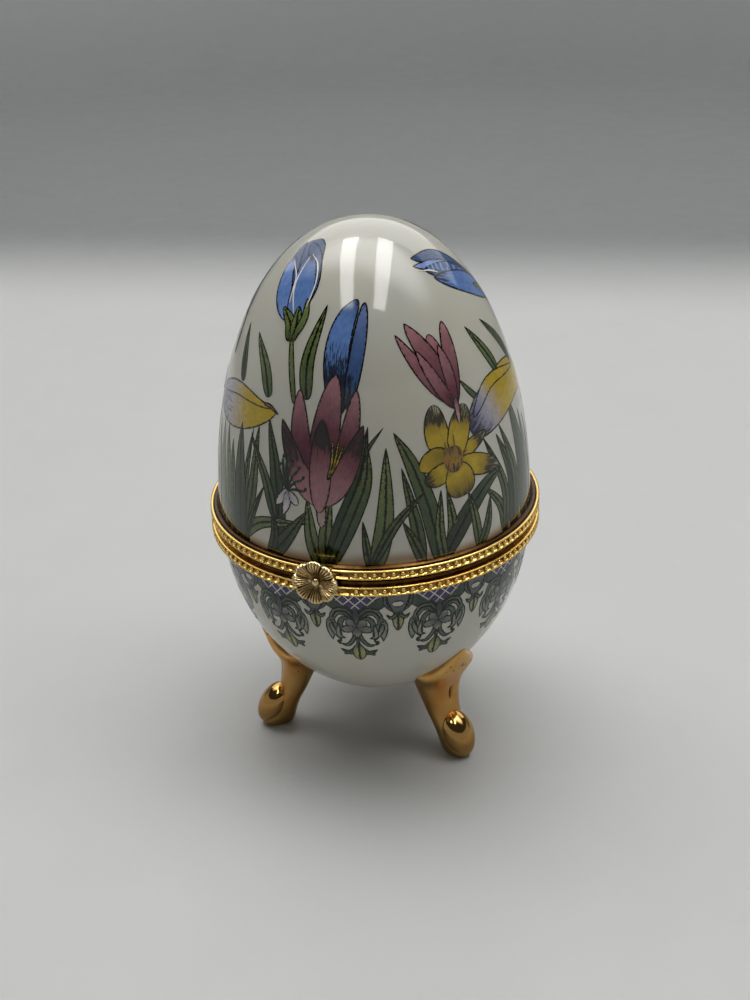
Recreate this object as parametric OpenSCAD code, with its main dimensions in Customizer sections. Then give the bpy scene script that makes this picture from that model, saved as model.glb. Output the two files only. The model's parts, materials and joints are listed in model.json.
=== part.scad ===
// Hinged porcelain egg box on three gilded feet, with a beaded brass rim and a flower clasp.
// Millimetres. +Z is up, the clasp faces -Y, the hinge is at +Y, and the origin is on the
// table under the middle of the egg.

/* [Egg] */
// Height of the closed box, from the table to the top of the lid
total_h = 100; // [94:0.5:108]
// Height of the parting line above the table
parting_z = 45.8; // [44:0.1:48]
// Outer radius of the porcelain at the parting line
egg_r = 28.8; // [28.2:0.1:29.4]
// Height of the underside of the bowl above the table
bowl_bottom = 9.1; // [8.6:0.1:9.8]
// Fullness of the lid's shoulder: 2 is a true ellipse
lid_fullness = 2.12; // [2:0.02:2.3]
// Thickness of the porcelain at the mouth
wall = 2.4; // [2.2:0.1:2.8]
// Thickness of the porcelain at the top of the lid
crown_t = 2.2; // [2:0.1:3]
// Thickness of the porcelain at the bottom of the bowl
floor_t = 4.6; // [3:0.1:6]

/* [Rims] */
// Height of each brass rim, from the parting line to its lip
rim_h = 2.5; // [2.3:0.1:2.8]
// Width of the open trough between the porcelain and the outer face of a rim
rim_reach = 1.3; // [1.2:0.05:1.4]
// Thickness of the brass strip
strip = 0.4; // [0.35:0.05:0.5]
// Depth of the collar inside the porcelain mouth
collar_h = 3.4; // [2.5:0.1:4]
// Half of the gap between the two closed rims
rim_gap = 0.05; // [0.03:0.01:0.1]
// Radius of the beads in each rim's row
bead_r = 0.42; // [0.36:0.01:0.44]

/* [Hinge] */
// Distance of the hinge axis from the middle of the egg
hinge_y = 31.7; // [31.6:0.05:32]
// Radius of the hinge knuckles
knuckle_r = 1.0; // [0.9:0.05:1]
// Radius of the hinge pin
pin_r = 0.45; // [0.4:0.05:0.5]
// Running clearance around the pin, on the radius
pin_clear = 0.05; // [0.03:0.01:0.08]
// Width of a hinge leaf
leaf_w = 11.2; // [10:0.2:12]

/* [Clasp] */
// Radius of the flower
flower_r = 4.1; // [3.6:0.1:4.3]
// Height of the flower's middle above the parting line
flower_z = 0.7; // [0:0.1:1]
// Number of petals
petals = 8; // [6:1:10]
// Radius of the round-headed rivet in the flower's middle
rivet_r = 0.83; // [0.7:0.01:0.95]
// Width of the plate of the spring tongue, behind the flower
tongue_w = 6.8; // [6.4:0.1:9]

/* [Feet] */
// Distance of the sole from the middle of the egg
sole_r = 21.2; // [20.6:0.1:21.8]
// Angle between the clasp and the two front feet
foot_angle = 60; // [55:1:65]
// Height of the top of the knee above the table
knee_top = 23.4; // [22:0.1:24]
// Half of the knee's width
knee_half_w = 7.2; // [6:0.1:7.6]

/* [Hidden] */

porcelain = "ivory";
gold = "gold";
old_gold = "goldenrod";

lid_rise = total_h - parting_z;      // from the parting line to the top of the lid
bowl_drop = parting_z - bowl_bottom; // from the parting line to the underside of the bowl
edge_z = 0.6;                        // the porcelain's edge stands this far from the parting line
arc_steps = 44;                      // points along one side of the egg's outline

// the rim's section, as radii, and heights from the parting line
mouth_r = egg_r - wall - 0.15;       // outside of the collar, with room for cement
collar_r = mouth_r - 0.65;           // inside of the collar
seat_r = egg_r + 0.08;               // where the rim wraps the porcelain's edge
groove_r = seat_r + strip;           // floor of the groove between the rims
band_r = egg_r + rim_reach;          // floor of the beaded channel
band_low = 0.8;                      // lower edge of the beaded band
lip = 0.12;                          // how far the channel's two edges stand up
bead_z = (band_low + rim_h) / 2;

// angles left without beads, for the clasp and for the hinge
clasp_bare = 10;
hinge_bare = 13;

leaf_face = band_r + lip + 0.36;     // outer face of the hinge leaves
knuckle_gap = 0.1;                   // between two knuckles, along the pin
knuckle_w = (leaf_w - 2 * knuckle_gap) / 3;
pin_l = leaf_w + 0.8;
leaf_low = 0.15;                     // the leaves' edges stand this far from the parting line

roll_r = 0.4;                        // rolled top of the tongue
roll_w = 4.4;
roll_clear = 0.05;
tongue_t = 0.4;
tongue_back = band_r + lip + 0.58;   // back face of the tongue
roll_y = tongue_back + 0.15;
roll_z = rim_h + 0.35;
tongue_low = -1.9;
tongue_high = 2.2;
flower_back = tongue_back + tongue_t;
flower_front = hinge_y + knuckle_r;  // the crest of the petals stands as far out as the hinge
stud_r = 0.6;
stud_z = -1.4;

toe_z = 3.2;                         // middle of the toe
sole_pad_r = 2.4;
hull_fn = 32;

// A quarter of an egg outline from height z0 to the pole: r = a cos^(2/n), z = b sin^(2/n)
function egg_arc(a, b, n, z0, up) = let (start = asin(pow(z0 / b, n / 2)))
    [for (i = [0:arc_steps]) let (f = start + (90 - start) * i / arc_steps)
        [a * pow(cos(f), 2 / n), up * b * pow(sin(f), 2 / n)]];
function reversed(p) = [for (i = [len(p) - 1:-1:0]) p[i]];

// A porcelain cup, open at the parting line, pole_t thick at its pole;
// up is 1 for the lid and -1 for the bowl
module porcelain_cup(b, n, pole_t, up)
    rotate_extrude($fn = 120)
        polygon(concat(egg_arc(egg_r, b, n, edge_z, up),
                       reversed(egg_arc(egg_r - wall, b - pole_t, n, edge_z, up))));

// The bowl with no hollow, for trimming what is luted onto it
module bowl_core()
    translate([0, 0, parting_z])
        rotate_extrude($fn = 120)
            polygon(concat([[0, -edge_z]], egg_arc(egg_r, bowl_drop, 2, edge_z, -1)));

// Section of one rim: collar, seat for the porcelain, groove wall and beaded band
module rim_section()
    polygon([[collar_r, rim_gap], [groove_r, rim_gap], [groove_r, band_low - 0.1],
             [band_r, band_low - 0.05], [band_r + lip, band_low + 0.1],
             [band_r, band_low + 0.35], [band_r, rim_h - 0.4],
             [band_r + lip, rim_h - 0.15], [band_r + lip - 0.05, rim_h],
             [band_r - strip, rim_h], [band_r - strip - 0.1, band_low + strip + 0.1],
             [seat_r, band_low + strip], [seat_r, edge_z], [mouth_r, edge_z],
             [mouth_r, collar_h], [collar_r, collar_h]]);

// The space inside a rim's outer face, for trimming what is soldered onto it
module rim_core()
    rotate_extrude($fn = 120)
        polygon([[0, 0], [groove_r, 0], [groove_r, band_low - 0.1],
                 [band_r, band_low - 0.05], [band_r + lip, band_low + 0.1],
                 [band_r, band_low + 0.35], [band_r, rim_h - 0.4],
                 [band_r + lip, rim_h - 0.15], [band_r + lip - 0.05, rim_h], [0, rim_h]]);

// One rim above the parting plane, with the raised line of its bead row on both sides
module rim() {
    row_angle = 180 - clasp_bare - hinge_bare;
    rotate_extrude($fn = 120) rim_section();
    for (start = [hinge_bare - 270, clasp_bare - 90])
        rotate([0, 0, start])
            rotate_extrude(angle = row_angle, $fn = 120)
                translate([band_r, bead_z]) circle(r = bead_r, $fn = 32);
}

// A foot pointing along -Y: knee, leg, toe, ball and flat sole
module foot_shape() {
    difference() {
        union() {
            hull() {
                translate([0, -22.4, knee_top - 1]) sphere(r = 0.9, $fn = hull_fn);
                for (s = [-1, 1])
                    translate([s * (knee_half_w - 1), -18.3, 18.2]) sphere(r = 1, $fn = hull_fn);
                translate([0, -17.9, 12.5]) sphere(r = 2.2, $fn = hull_fn);
            }
            hull() {
                translate([0, -18.2, 13]) sphere(r = 2.6, $fn = hull_fn);
                translate([0, -17.6, 7.6]) sphere(r = 2.35, $fn = hull_fn);
            }
            hull() {
                translate([0, -17.6, 7.6]) sphere(r = 2.35, $fn = hull_fn);
                translate([0, -sole_r + 0.6, toe_z]) sphere(r = toe_z, $fn = hull_fn);
            }
            translate([0, -sole_r - 0.9, toe_z + 1.4]) sphere(r = 2.8, $fn = 40);
            translate([0, -sole_r, 0]) cylinder(r = sole_pad_r, h = toe_z, $fn = 48);
        }
        bowl_core();
        translate([0, 0, -10]) cube([80, 80, 20], center = true);
    }
}

module foot(a) color(old_gold) rotate([0, 0, a]) foot_shape();

// A hinge leaf above the parting plane: a plate shaped to the rim, and its knuckles
module hinge_leaf(centres) {
    difference() {
        union() {
            translate([-leaf_w / 2, band_r - 2, leaf_low])
                cube([leaf_w, leaf_face - band_r + 2, rim_h - leaf_low]);
            for (x = centres) {
                translate([x - knuckle_w / 2, leaf_face - 0.2, leaf_low])
                    cube([knuckle_w, hinge_y - leaf_face + 0.2, knuckle_r - leaf_low]);
                translate([x - knuckle_w / 2, hinge_y, 0])
                    rotate([0, 90, 0]) cylinder(r = knuckle_r, h = knuckle_w, $fn = 48);
            }
        }
        rim_core();
        translate([-leaf_w, hinge_y, 0])
            rotate([0, 90, 0]) cylinder(r = pin_r + pin_clear, h = 2 * leaf_w, $fn = 48);
    }
}

module base_bowl()
    color(porcelain) translate([0, 0, parting_z]) porcelain_cup(bowl_drop, 2, floor_t, -1);

module lid_shell()
    color(porcelain) translate([0, 0, parting_z]) porcelain_cup(lid_rise, lid_fullness, crown_t, 1);

module foot_left() foot(-foot_angle);
module foot_right() foot(foot_angle);
module foot_rear() foot(180);

module base_bezel()
    color(gold) translate([0, 0, parting_z]) mirror([0, 0, 1]) rim();

module lid_bezel()
    color(gold) translate([0, 0, parting_z]) rim();

// The stud on the lower rim that the tongue snaps over
module catch_stud()
    color(gold) translate([0, 0, parting_z])
        difference() {
            translate([0, -band_r, stud_z]) sphere(r = stud_r, $fn = 48);
            mirror([0, 0, 1]) rim_core();
        }

module hinge_base_leaf()
    color(gold) translate([0, 0, parting_z])
        mirror([0, 0, 1])
            hinge_leaf([-knuckle_w - knuckle_gap, knuckle_w + knuckle_gap]);

module hinge_lid_leaf()
    color(gold) translate([0, 0, parting_z]) hinge_leaf([0]);

module hinge_pin()
    color(old_gold)
        translate([-pin_l / 2, hinge_y, parting_z])
            rotate([0, 90, 0]) cylinder(r = pin_r, h = pin_l, $fn = 48);

// A block soldered on the upper rim, with a hollow that the tongue's rolled top turns in
module clasp_saddle() {
    saddle_w = roll_w + 0.8;
    color(gold) translate([0, 0, parting_z])
        difference() {
            translate([-saddle_w / 2, -tongue_back + 0.1, bead_z])
                cube([saddle_w, tongue_back - band_r + 0.3, roll_z + 0.2 - bead_z]);
            rim_core();
            translate([-saddle_w, -roll_y, roll_z])
                rotate([0, 90, 0]) cylinder(r = roll_r + roll_clear, h = 2 * saddle_w, $fn = 48);
        }
}

// The spring that carries the flower: a plate curved to the rim, and a stem rolled at its top
module clasp_tongue() {
    half_angle = asin(tongue_w / 2 / tongue_back);
    color(gold) translate([0, 0, parting_z])
        difference() {
            union() {
                translate([-roll_w / 2, -roll_y, roll_z])
                    rotate([0, 90, 0]) cylinder(r = roll_r, h = roll_w, $fn = 48);
                translate([-roll_w / 2, -tongue_back - tongue_t, tongue_high - 0.8])
                    cube([roll_w, tongue_t - 0.05, roll_z - roll_r - tongue_high + 0.85]);
                rotate([0, 0, -90 - half_angle])
                    rotate_extrude(angle = 2 * half_angle, $fn = 120)
                        translate([tongue_back, tongue_low])
                            square([tongue_t, tongue_high - tongue_low]);
            }
            translate([0, 0, flower_z]) rotate([90, 0, 0]) cylinder(r = 0.4, h = 2 * band_r, $fn = 32);
        }
}

// Outline of the flower: a ring of round petals about a middle disc
module flower_outline() {
    petal_r = 0.388 * flower_r;
    circle(r = 0.65 * flower_r, $fn = 60);
    for (i = [0:petals - 1])
        rotate(360 * i / petals)
            translate([0, flower_r - petal_r]) circle(r = petal_r, $fn = 36);
}

// Section of the dished flower; depth is how far its crest stands out from the tongue
module flower_section(depth)
    polygon([[0.4, 0], [0.4 * flower_r, 0], [0.9 * flower_r, 0.55 * depth],
             [flower_r + 0.1, 0.62 * depth], [flower_r + 0.1, 0.8 * depth],
             [0.95 * flower_r, depth], [0.87 * flower_r, 0.93 * depth],
             [0.2 * flower_r, 0.3 * depth], [0.4, 0.3 * depth]]);

module clasp_rosette() {
    depth = flower_front - flower_back;
    color(gold)
        translate([0, -flower_back, parting_z + flower_z])
            rotate([90, 0, 0])
                intersection() {
                    rotate_extrude($fn = 90) flower_section(depth);
                    linear_extrude(2 * depth) flower_outline();
                }
}

module clasp_rivet() {
    seat = 0.3 * (flower_front - flower_back);
    color(old_gold)
        translate([0, -flower_back, parting_z + flower_z])
            rotate([90, 0, 0])
                rotate_extrude($fn = 48) {
                    translate([0, -tongue_t]) square([0.4, seat + tongue_t]);
                    intersection() {
                        translate([0, seat]) circle(r = rivet_r, $fn = 48);
                        translate([0, seat]) square(2);
                    }
                }
}

base_bowl();
foot_left();
foot_right();
foot_rear();
base_bezel();
catch_stud();
hinge_base_leaf();
hinge_pin();
lid_shell();
lid_bezel();
hinge_lid_leaf();
clasp_saddle();
clasp_tongue();
clasp_rosette();
clasp_rivet();
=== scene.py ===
"""Looks of a hinged porcelain egg box: glazed shells, painted crocuses and border, beaded brass rims,
a flower clasp and three gilded feet, built round the packed CAD frame."""

import json
import math

import bpy
import numpy as np
from bpy.props import FloatProperty, FloatVectorProperty, IntProperty, PointerProperty
from mathutils import Matrix, Vector


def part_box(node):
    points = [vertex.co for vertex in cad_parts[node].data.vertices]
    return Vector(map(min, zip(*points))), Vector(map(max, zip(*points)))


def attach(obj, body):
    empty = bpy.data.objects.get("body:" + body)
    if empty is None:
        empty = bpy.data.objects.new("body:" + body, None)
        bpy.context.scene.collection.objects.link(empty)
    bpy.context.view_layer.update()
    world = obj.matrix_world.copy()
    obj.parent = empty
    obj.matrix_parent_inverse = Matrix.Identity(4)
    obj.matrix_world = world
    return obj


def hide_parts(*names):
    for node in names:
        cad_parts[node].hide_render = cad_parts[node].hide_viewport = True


bl_info = {
    "name": "Porcelain Egg Box",
    "version": (1, 0, 0),
    "blender": (4, 5, 0),
    "location": "View3D > Sidebar > Egg Box",
    "description": "Builds a painted porcelain egg box with brass rims, clasp and gilded feet",
    "category": "Object",
}

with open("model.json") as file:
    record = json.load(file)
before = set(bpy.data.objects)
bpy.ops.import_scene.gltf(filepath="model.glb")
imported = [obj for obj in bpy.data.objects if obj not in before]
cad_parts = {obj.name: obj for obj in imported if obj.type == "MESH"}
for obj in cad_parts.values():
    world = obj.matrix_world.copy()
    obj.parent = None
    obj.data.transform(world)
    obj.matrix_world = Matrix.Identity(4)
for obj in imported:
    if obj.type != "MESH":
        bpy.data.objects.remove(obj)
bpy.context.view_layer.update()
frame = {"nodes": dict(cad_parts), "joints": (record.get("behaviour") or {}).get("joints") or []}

MM = 0.001
LID_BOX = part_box("lid_shell")
BOWL_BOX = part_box("base_bowl")
HINGE = next(j for j in frame["joints"] if j["name"] == "lid_hinge")
PARTING = HINGE["pos_m"][2]
EDGE = LID_BOX[0].z - PARTING


# ---------------------------------------------------------------- settings

COLOUR = {"min": 0, "max": 1, "subtype": "COLOR"}
LENGTH = {"unit": "LENGTH", "subtype": "DISTANCE", "precision": 5}
ANGLE = {"unit": "ROTATION", "subtype": "ANGLE"}


class EggSizes(bpy.types.PropertyGroup):
    """Sizes of the porcelain"""
    radius: FloatProperty(
        name="Egg radius", description="Outer radius of the porcelain at the parting line",
        default=LID_BOX[1].x, **LENGTH)
    fullness: FloatProperty(
        name="Lid fullness", description="Shoulder of the lid: 2 is a true ellipse",
        default=2.12, min=1.8, max=2.6)
    wall: FloatProperty(
        name="Wall", description="Thickness of the porcelain at the mouth",
        default=2.4 * MM, **LENGTH)
    crown: FloatProperty(
        name="Crown", description="Thickness of the porcelain at the top of the lid",
        default=2.2 * MM, **LENGTH)
    floor: FloatProperty(
        name="Floor", description="Thickness of the porcelain at the bottom of the bowl",
        default=4.6 * MM, **LENGTH)
    glaze: FloatVectorProperty(
        name="Glaze", description="Colour of the glazed white porcelain",
        default=(0.53, 0.525, 0.465), **COLOUR)


class RimSizes(bpy.types.PropertyGroup):
    """Sizes of the beaded brass rims, and their metal"""
    beads: IntProperty(
        name="Bead places", description="Bead places round one rim",
        default=118, min=60, max=200)
    bead: FloatProperty(
        name="Bead radius", description="Radius of one bead",
        default=0.45 * MM, **LENGTH)
    clasp_bare: FloatProperty(
        name="Bare at clasp", description="Half of the angle left without beads behind the flower",
        default=math.radians(10), **ANGLE)
    hinge_bare: FloatProperty(
        name="Bare at hinge", description="Half of the angle left without beads under the hinge",
        default=math.radians(13), **ANGLE)
    bright: FloatVectorProperty(
        name="Bright brass", description="Colour of the polished high places",
        default=(0.86, 0.62, 0.20), **COLOUR)
    # Dark brass stands for both the patina and the painted shade in the rims' hollows.
    dark: FloatVectorProperty(
        name="Dark brass", description="Colour of the antiqued low places",
        default=(0.16, 0.075, 0.02), **COLOUR)


class FlowerSizes(bpy.types.PropertyGroup):
    """Sizes of the flower on the clasp"""
    petals: IntProperty(name="Petals", description="Petals of the flower", default=8, min=5, max=12)
    flutes: IntProperty(name="Flutes", description="Flutes on one petal", default=5, min=2, max=7)
    crease: FloatProperty(
        name="Crease", description="Depth of the creases between the petals",
        default=0.5 * MM, **LENGTH)
    gold: FloatVectorProperty(
        name="Antique gold", description="Colour of the cast flower",
        default=(0.74, 0.56, 0.28), **COLOUR)


class FootSizes(bpy.types.PropertyGroup):
    """Sizes of a foot, and its lustre"""
    spread: FloatProperty(
        name="Spread", description="Angle between the clasp and a front foot",
        default=math.radians(60), **ANGLE)
    toe: FloatProperty(
        name="Toe", description="Long radius of the toe's polished drop",
        default=4.5 * MM, **LENGTH)
    lustre: FloatVectorProperty(
        name="Gold lustre", description="Colour of the fired gold on the feet",
        default=(0.66, 0.40, 0.13), **COLOUR)


class PaintColours(bpy.types.PropertyGroup):
    """Enamel colours of the painted decoration, and its line"""
    line: FloatProperty(
        name="Outline", description="Width of the drawn outline",
        default=0.25 * MM, **LENGTH)
    leaf_deep: FloatVectorProperty(
        name="Deep leaf", description="Blue-green at the foot of the leaves",
        default=(0.015, 0.039, 0.015), **COLOUR)
    leaf_fresh: FloatVectorProperty(
        name="Fresh leaf", description="Yellow-green at the tips of the leaves",
        default=(0.135, 0.18, 0.055), **COLOUR)
    pink: FloatVectorProperty(
        name="Pink", description="Pale edge of the pink petals",
        default=(0.35, 0.16, 0.175), **COLOUR)
    crimson: FloatVectorProperty(
        name="Crimson", description="Throat of the pink petals",
        default=(0.10, 0.016, 0.032), **COLOUR)
    blue: FloatVectorProperty(
        name="Blue", description="Body of the blue petals",
        default=(0.11, 0.22, 0.52), **COLOUR)
    yellow: FloatVectorProperty(
        name="Yellow", description="Body of the yellow petals",
        default=(0.47, 0.32, 0.012), **COLOUR)
    lilac: FloatVectorProperty(
        name="Lilac", description="Foot of the two-coloured buds",
        default=(0.24, 0.235, 0.34), **COLOUR)
    border: FloatVectorProperty(
        name="Border", description="Grey-green of the scrolls under the rim",
        default=(0.062, 0.098, 0.067), **COLOUR)
    ink: FloatVectorProperty(
        name="Ink", description="Drawn lines and hatching",
        default=(0.010, 0.0085, 0.006), **COLOUR)


class StageSettings(bpy.types.PropertyGroup):
    """Floor and lights"""
    table: FloatVectorProperty(
        name="Table", description="Colour of the pale table",
        default=(0.545, 0.55, 0.54), **COLOUR)
    beyond: FloatVectorProperty(
        name="Beyond", description="Colour of the grey backdrop behind the table",
        default=(0.191, 0.196, 0.195), **COLOUR)
    strip_power: FloatProperty(
        name="Strip lights", description="Power of each of the two long lights overhead",
        default=2.5, unit="POWER")
    ceiling: FloatProperty(
        name="Ceiling light", description="Brightness of the wide soft light overhead, at its middle",
        default=4.1, min=0)
    glow_power: FloatProperty(
        name="Glow", description="Power of the faint light behind, which only shows in the gloss",
        default=4.0, unit="POWER")


# ---------------------------------------------------------------- surfaces

def grid_triangles(rows, columns, ring=False):
    """Two triangles for each cell between neighbouring rows. The last column is joined to the first, and in
    a ring the last row is joined to the first too."""
    row, column = np.meshgrid(np.arange(rows if ring else rows - 1), np.arange(columns), indexing="ij")
    below, after = (row + 1) % rows * columns, (column + 1) % columns
    a, b = row * columns + column, row * columns + after
    c, d = below + after, below + column
    return np.concatenate([np.stack(corners, -1).reshape(-1, 3) for corners in ((a, b, c), (a, c, d))])


def loft(rings, **values):
    """A closed skin through rings of points, shaped (rings, points round, 3): neighbouring rings are joined,
    and the first and last are each closed by a fan about their middle point. Points that fall together are
    merged, so a ring that has shrunk to a point is a pole, and the skin is turned to face outwards by the
    sign of its volume, the sum of a . (b x c) / 6. Values are numbers or vectors on the same rings."""
    rows, columns = rings.shape[:2]
    points = rings.reshape(-1, 3)
    middle = np.stack([rings[0].mean(0), rings[-1].mean(0)])
    points = np.concatenate([points, middle])
    first, last = rows * columns, rows * columns + 1
    here = np.arange(columns)
    after = (here + 1) % columns
    top = (rows - 1) * columns
    triangles = np.concatenate([
        grid_triangles(rows, columns),
        np.stack([after, here, np.full(columns, first)], -1),
        np.stack([top + here, top + after, np.full(columns, last)], -1),
    ])
    carried = {}
    for name, value in values.items():
        parts = np.shape(value)[2:]
        flat = np.broadcast_to(value, (rows, columns) + parts).reshape((rows * columns,) + parts)
        ends = np.stack([flat[:columns].mean(0), flat[top:top + columns].mean(0)])
        carried[name] = np.concatenate([flat, ends])
    return weld(points, triangles, carried)


def ring_solid(section, **values):
    """A closed band that runs right round: section points, shaped (places round, points of the section, 3),
    are joined round the section and round the ring."""
    shape = section.shape[:2]
    flat = {name: np.broadcast_to(value, shape).reshape(-1) for name, value in values.items()}
    return weld(section.reshape(-1, 3), grid_triangles(*shape, ring=True), flat)


def weld(points, triangles, values):
    """Merges points that agree to a hundredth of a micron, drops triangles that have lost a corner, and
    turns the skin so that it encloses a positive volume."""
    key = np.round(points * 1e8).astype(np.int64)
    _, keep, where = np.unique(key, axis=0, return_index=True, return_inverse=True)
    triangles = where.reshape(-1)[triangles]
    a, b, c = triangles.T
    triangles = triangles[(a != b) & (b != c) & (c != a)]
    points = points[keep]
    a, b, c = points[triangles].transpose(1, 0, 2)
    if np.einsum("ij,ij->", a, np.cross(b, c)) < 0:
        triangles = triangles[:, ::-1]
    return {"points": points, "triangles": triangles, "values": {k: v[keep] for k, v in values.items()}}


def together(skins):
    """One skin made of several closed ones, with their values one after another."""
    start = np.cumsum([0] + [len(s["points"]) for s in skins[:-1]])
    return {
        "points": np.concatenate([s["points"] for s in skins]),
        "triangles": np.concatenate([s["triangles"] + n for s, n in zip(skins, start)]),
        "values": {k: np.concatenate([s["values"][k] for s in skins]) for k in skins[0]["values"]},
    }


def into_scene(name, data):
    """Puts a mesh, a light or a camera into the scene as an object at the origin."""
    made = bpy.data.objects.new(name, data)
    bpy.context.scene.collection.objects.link(made)
    return made


def smooth_object(name, mesh, material, crease):
    """An object from a mesh that is shaded smooth, but for edges that bend by more than an angle."""
    mesh.polygons.foreach_set("use_smooth", np.ones(len(mesh.polygons), bool))
    mesh.set_sharp_from_angle(angle=crease)
    mesh.materials.append(material)
    return into_scene(name, mesh)


def add_piece(name, skin, material, body, stands_for=(), crease=math.radians(50)):
    """Puts a skin into a mesh object at the origin, and says what it rides on and what it stands for."""
    mesh = bpy.data.meshes.new(name)
    points, triangles = skin["points"], skin["triangles"]
    mesh.vertices.add(len(points))
    mesh.vertices.foreach_set("co", points.astype(np.float32).ravel())
    mesh.loops.add(3 * len(triangles))
    mesh.loops.foreach_set("vertex_index", triangles.astype(np.int32).ravel())
    mesh.polygons.add(len(triangles))
    mesh.polygons.foreach_set("loop_start", np.arange(0, 3 * len(triangles), 3, dtype=np.int32))
    mesh.update(calc_edges=True)
    if mesh.validate():
        raise ValueError(f"{name}: the mesh had faults")
    kinds = {1: ("FLOAT", "value"), 3: ("FLOAT_VECTOR", "vector"), 4: ("FLOAT_COLOR", "color")}
    for key, value in skin["values"].items():
        kind, part = kinds[1 if value.ndim == 1 else value.shape[1]]
        layer = mesh.attributes.new(key, kind, "POINT")
        layer.data.foreach_set(part, value.astype(np.float32).ravel())
    piece = smooth_object(name, mesh, material, crease)
    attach(piece, body)
    if stands_for:
        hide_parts(*stands_for)


def round_the_egg(radius, height, angle):
    """Points at a distance from the egg's middle line, a height, and an angle from the clasp towards +X."""
    return np.stack(np.broadcast_arrays(radius * np.sin(angle), -radius * np.cos(angle), height), -1)


def smooth_line(knots, steps):
    """Curve through the knots: between two of them a cubic whose slope at each end is half the step
    between that end's neighbours. Steps are shares of the whole, from 0 to 1."""
    knots = np.asarray(knots, float)
    ends = np.concatenate([[2 * knots[0] - knots[1]], knots, [2 * knots[-1] - knots[-2]]])
    place = np.asarray(steps) * (len(knots) - 1)
    k = np.minimum(place.astype(int), len(knots) - 2)
    u = (place - k).reshape((-1,) + (1,) * (knots.ndim - 1))
    a, b, c, d = ends[k], ends[k + 1], ends[k + 2], ends[k + 3]
    return b + u / 2 * (c - a + u * (2 * a - 5 * b + 4 * c - d + u * (3 * (b - c) + d - a)))


def half_sizes(sizes, upward):
    """One half's height from the parting line, its fullness and the porcelain's thickness at its pole."""
    if upward > 0:
        return LID_BOX[1].z - PARTING, sizes.fullness, sizes.crown
    return PARTING - BOWL_BOX[0].z, 2, sizes.floor


def half_egg(radius, rise, fullness, upward, start, steps):
    """Outline of half an egg from just off the parting line to its pole: r = radius cos(f)^(2/n) and
    z = rise sin(f)^(2/n) above or below the parting line, for f from the edge to a right angle."""
    first = math.asin((start / rise) ** (fullness / 2))
    f = np.linspace(first, math.pi / 2, steps)
    r = radius * np.maximum(np.cos(f), 0) ** (2 / fullness)
    z = PARTING + upward * rise * np.sin(f) ** (2 / fullness)
    return r, z


def glaze_chart(sizes, upward):
    """Table of one half's outer outline: arc length from the parting line, radius, height and the
    outward normal's two parts, all in metres."""
    rise, fullness, _ = half_sizes(sizes, upward)
    r, z = half_egg(sizes.radius, rise, fullness, upward, 1e-9, 3000)
    dr, dz = np.gradient(r), np.gradient(z)
    size = np.hypot(dr, dz)
    length = np.concatenate([[0], np.cumsum(np.hypot(np.diff(r), np.diff(z)))])
    return {"length": length, "radius": r, "height": z, "out": upward * dz / size, "up": -upward * dr / size}


def on_glaze(chart, angle, along, lift):
    """Points on one half of the egg, at angles in degrees from the clasp and lengths in millimetres from
    the parting line, raised off the glaze by a lift in millimetres."""
    along = along * MM
    read = {key: np.interp(along, chart["length"], chart[key]) for key in ("radius", "height", "out", "up")}
    return round_the_egg(
        read["radius"] + lift * MM * read["out"], read["height"] + lift * MM * read["up"], np.radians(angle))


# ---------------------------------------------------------------- materials

def tint(colour, factor):
    """A colour made darker or lighter."""
    return tuple(min(1.0, c * factor) for c in colour)


def between(first, second, share):
    """A colour part of the way between two."""
    return tuple(a + (b - a) * share for a, b in zip(first, second))


def node(tree, kind, links=None, values=None, **settings):
    """Adds a node, links sockets into its inputs and sets its other inputs and settings."""
    made = tree.nodes.new(kind)
    for key, value in settings.items():
        setattr(made, key, value)
    for key, value in (values or {}).items():
        made.inputs[key].default_value = value
    for key, source in (links or {}).items():
        tree.links.new(source, made.inputs[key])
    return made


def start_material(name):
    """A material with one principled shader: gives the material, its tree, the shader and object places."""
    material = bpy.data.materials.new(name)
    material.use_nodes = True
    tree = material.node_tree
    tree.nodes.clear()
    shader = tree.nodes.new("ShaderNodeBsdfPrincipled")
    output = tree.nodes.new("ShaderNodeOutputMaterial")
    tree.links.new(shader.outputs["BSDF"], output.inputs["Surface"])
    places = tree.nodes.new("ShaderNodeTexCoord").outputs["Object"]
    return material, tree, shader, places


def noise(tree, vector, scale, detail, roughness=0.5):
    """Fractal noise, about 0.5 in the middle."""
    made = node(tree, "ShaderNodeTexNoise", {"Vector": vector},
                {"Scale": scale, "Detail": detail, "Roughness": roughness})
    return made.outputs["Fac"]


def remap(tree, value, low, high, to_low=0.0, to_high=1.0, smooth=False):
    """Turns low..high into to_low..to_high, held at both ends."""
    made = node(tree, "ShaderNodeMapRange", {"Value": value},
                {"From Min": low, "From Max": high, "To Min": to_low, "To Max": to_high},
                interpolation_type="SMOOTHSTEP" if smooth else "LINEAR")
    return made.outputs["Result"]


def uneven(tree, vector, scale, detail, low, high):
    """A number that wanders from low to high over the surface, by noise of a scale."""
    return remap(tree, noise(tree, vector, scale, detail), 0.3, 0.7, low, high)


def feed(shader, socket, source):
    """Links a source into one of the shader's sockets."""
    shader.id_data.links.new(source, shader.inputs[socket])


def height_of(tree, places):
    """Height above the table, in metres."""
    return node(tree, "ShaderNodeSeparateXYZ", {0: places}).outputs["Z"]


def blend_colour(tree, share, first, second, kind="MIX"):
    """Mixes two colours, each a socket or a plain colour, by a share that is a socket or a number."""
    made = node(tree, "ShaderNodeMix", data_type="RGBA", blend_type=kind)
    for index, source in ((0, share), (6, first), (7, second)):
        if isinstance(source, bpy.types.NodeSocket):
            tree.links.new(source, made.inputs[index])
        elif index == 0:
            made.inputs[0].default_value = source
        else:
            made.inputs[index].default_value = (*source, 1)
    return made.outputs[2]


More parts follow.
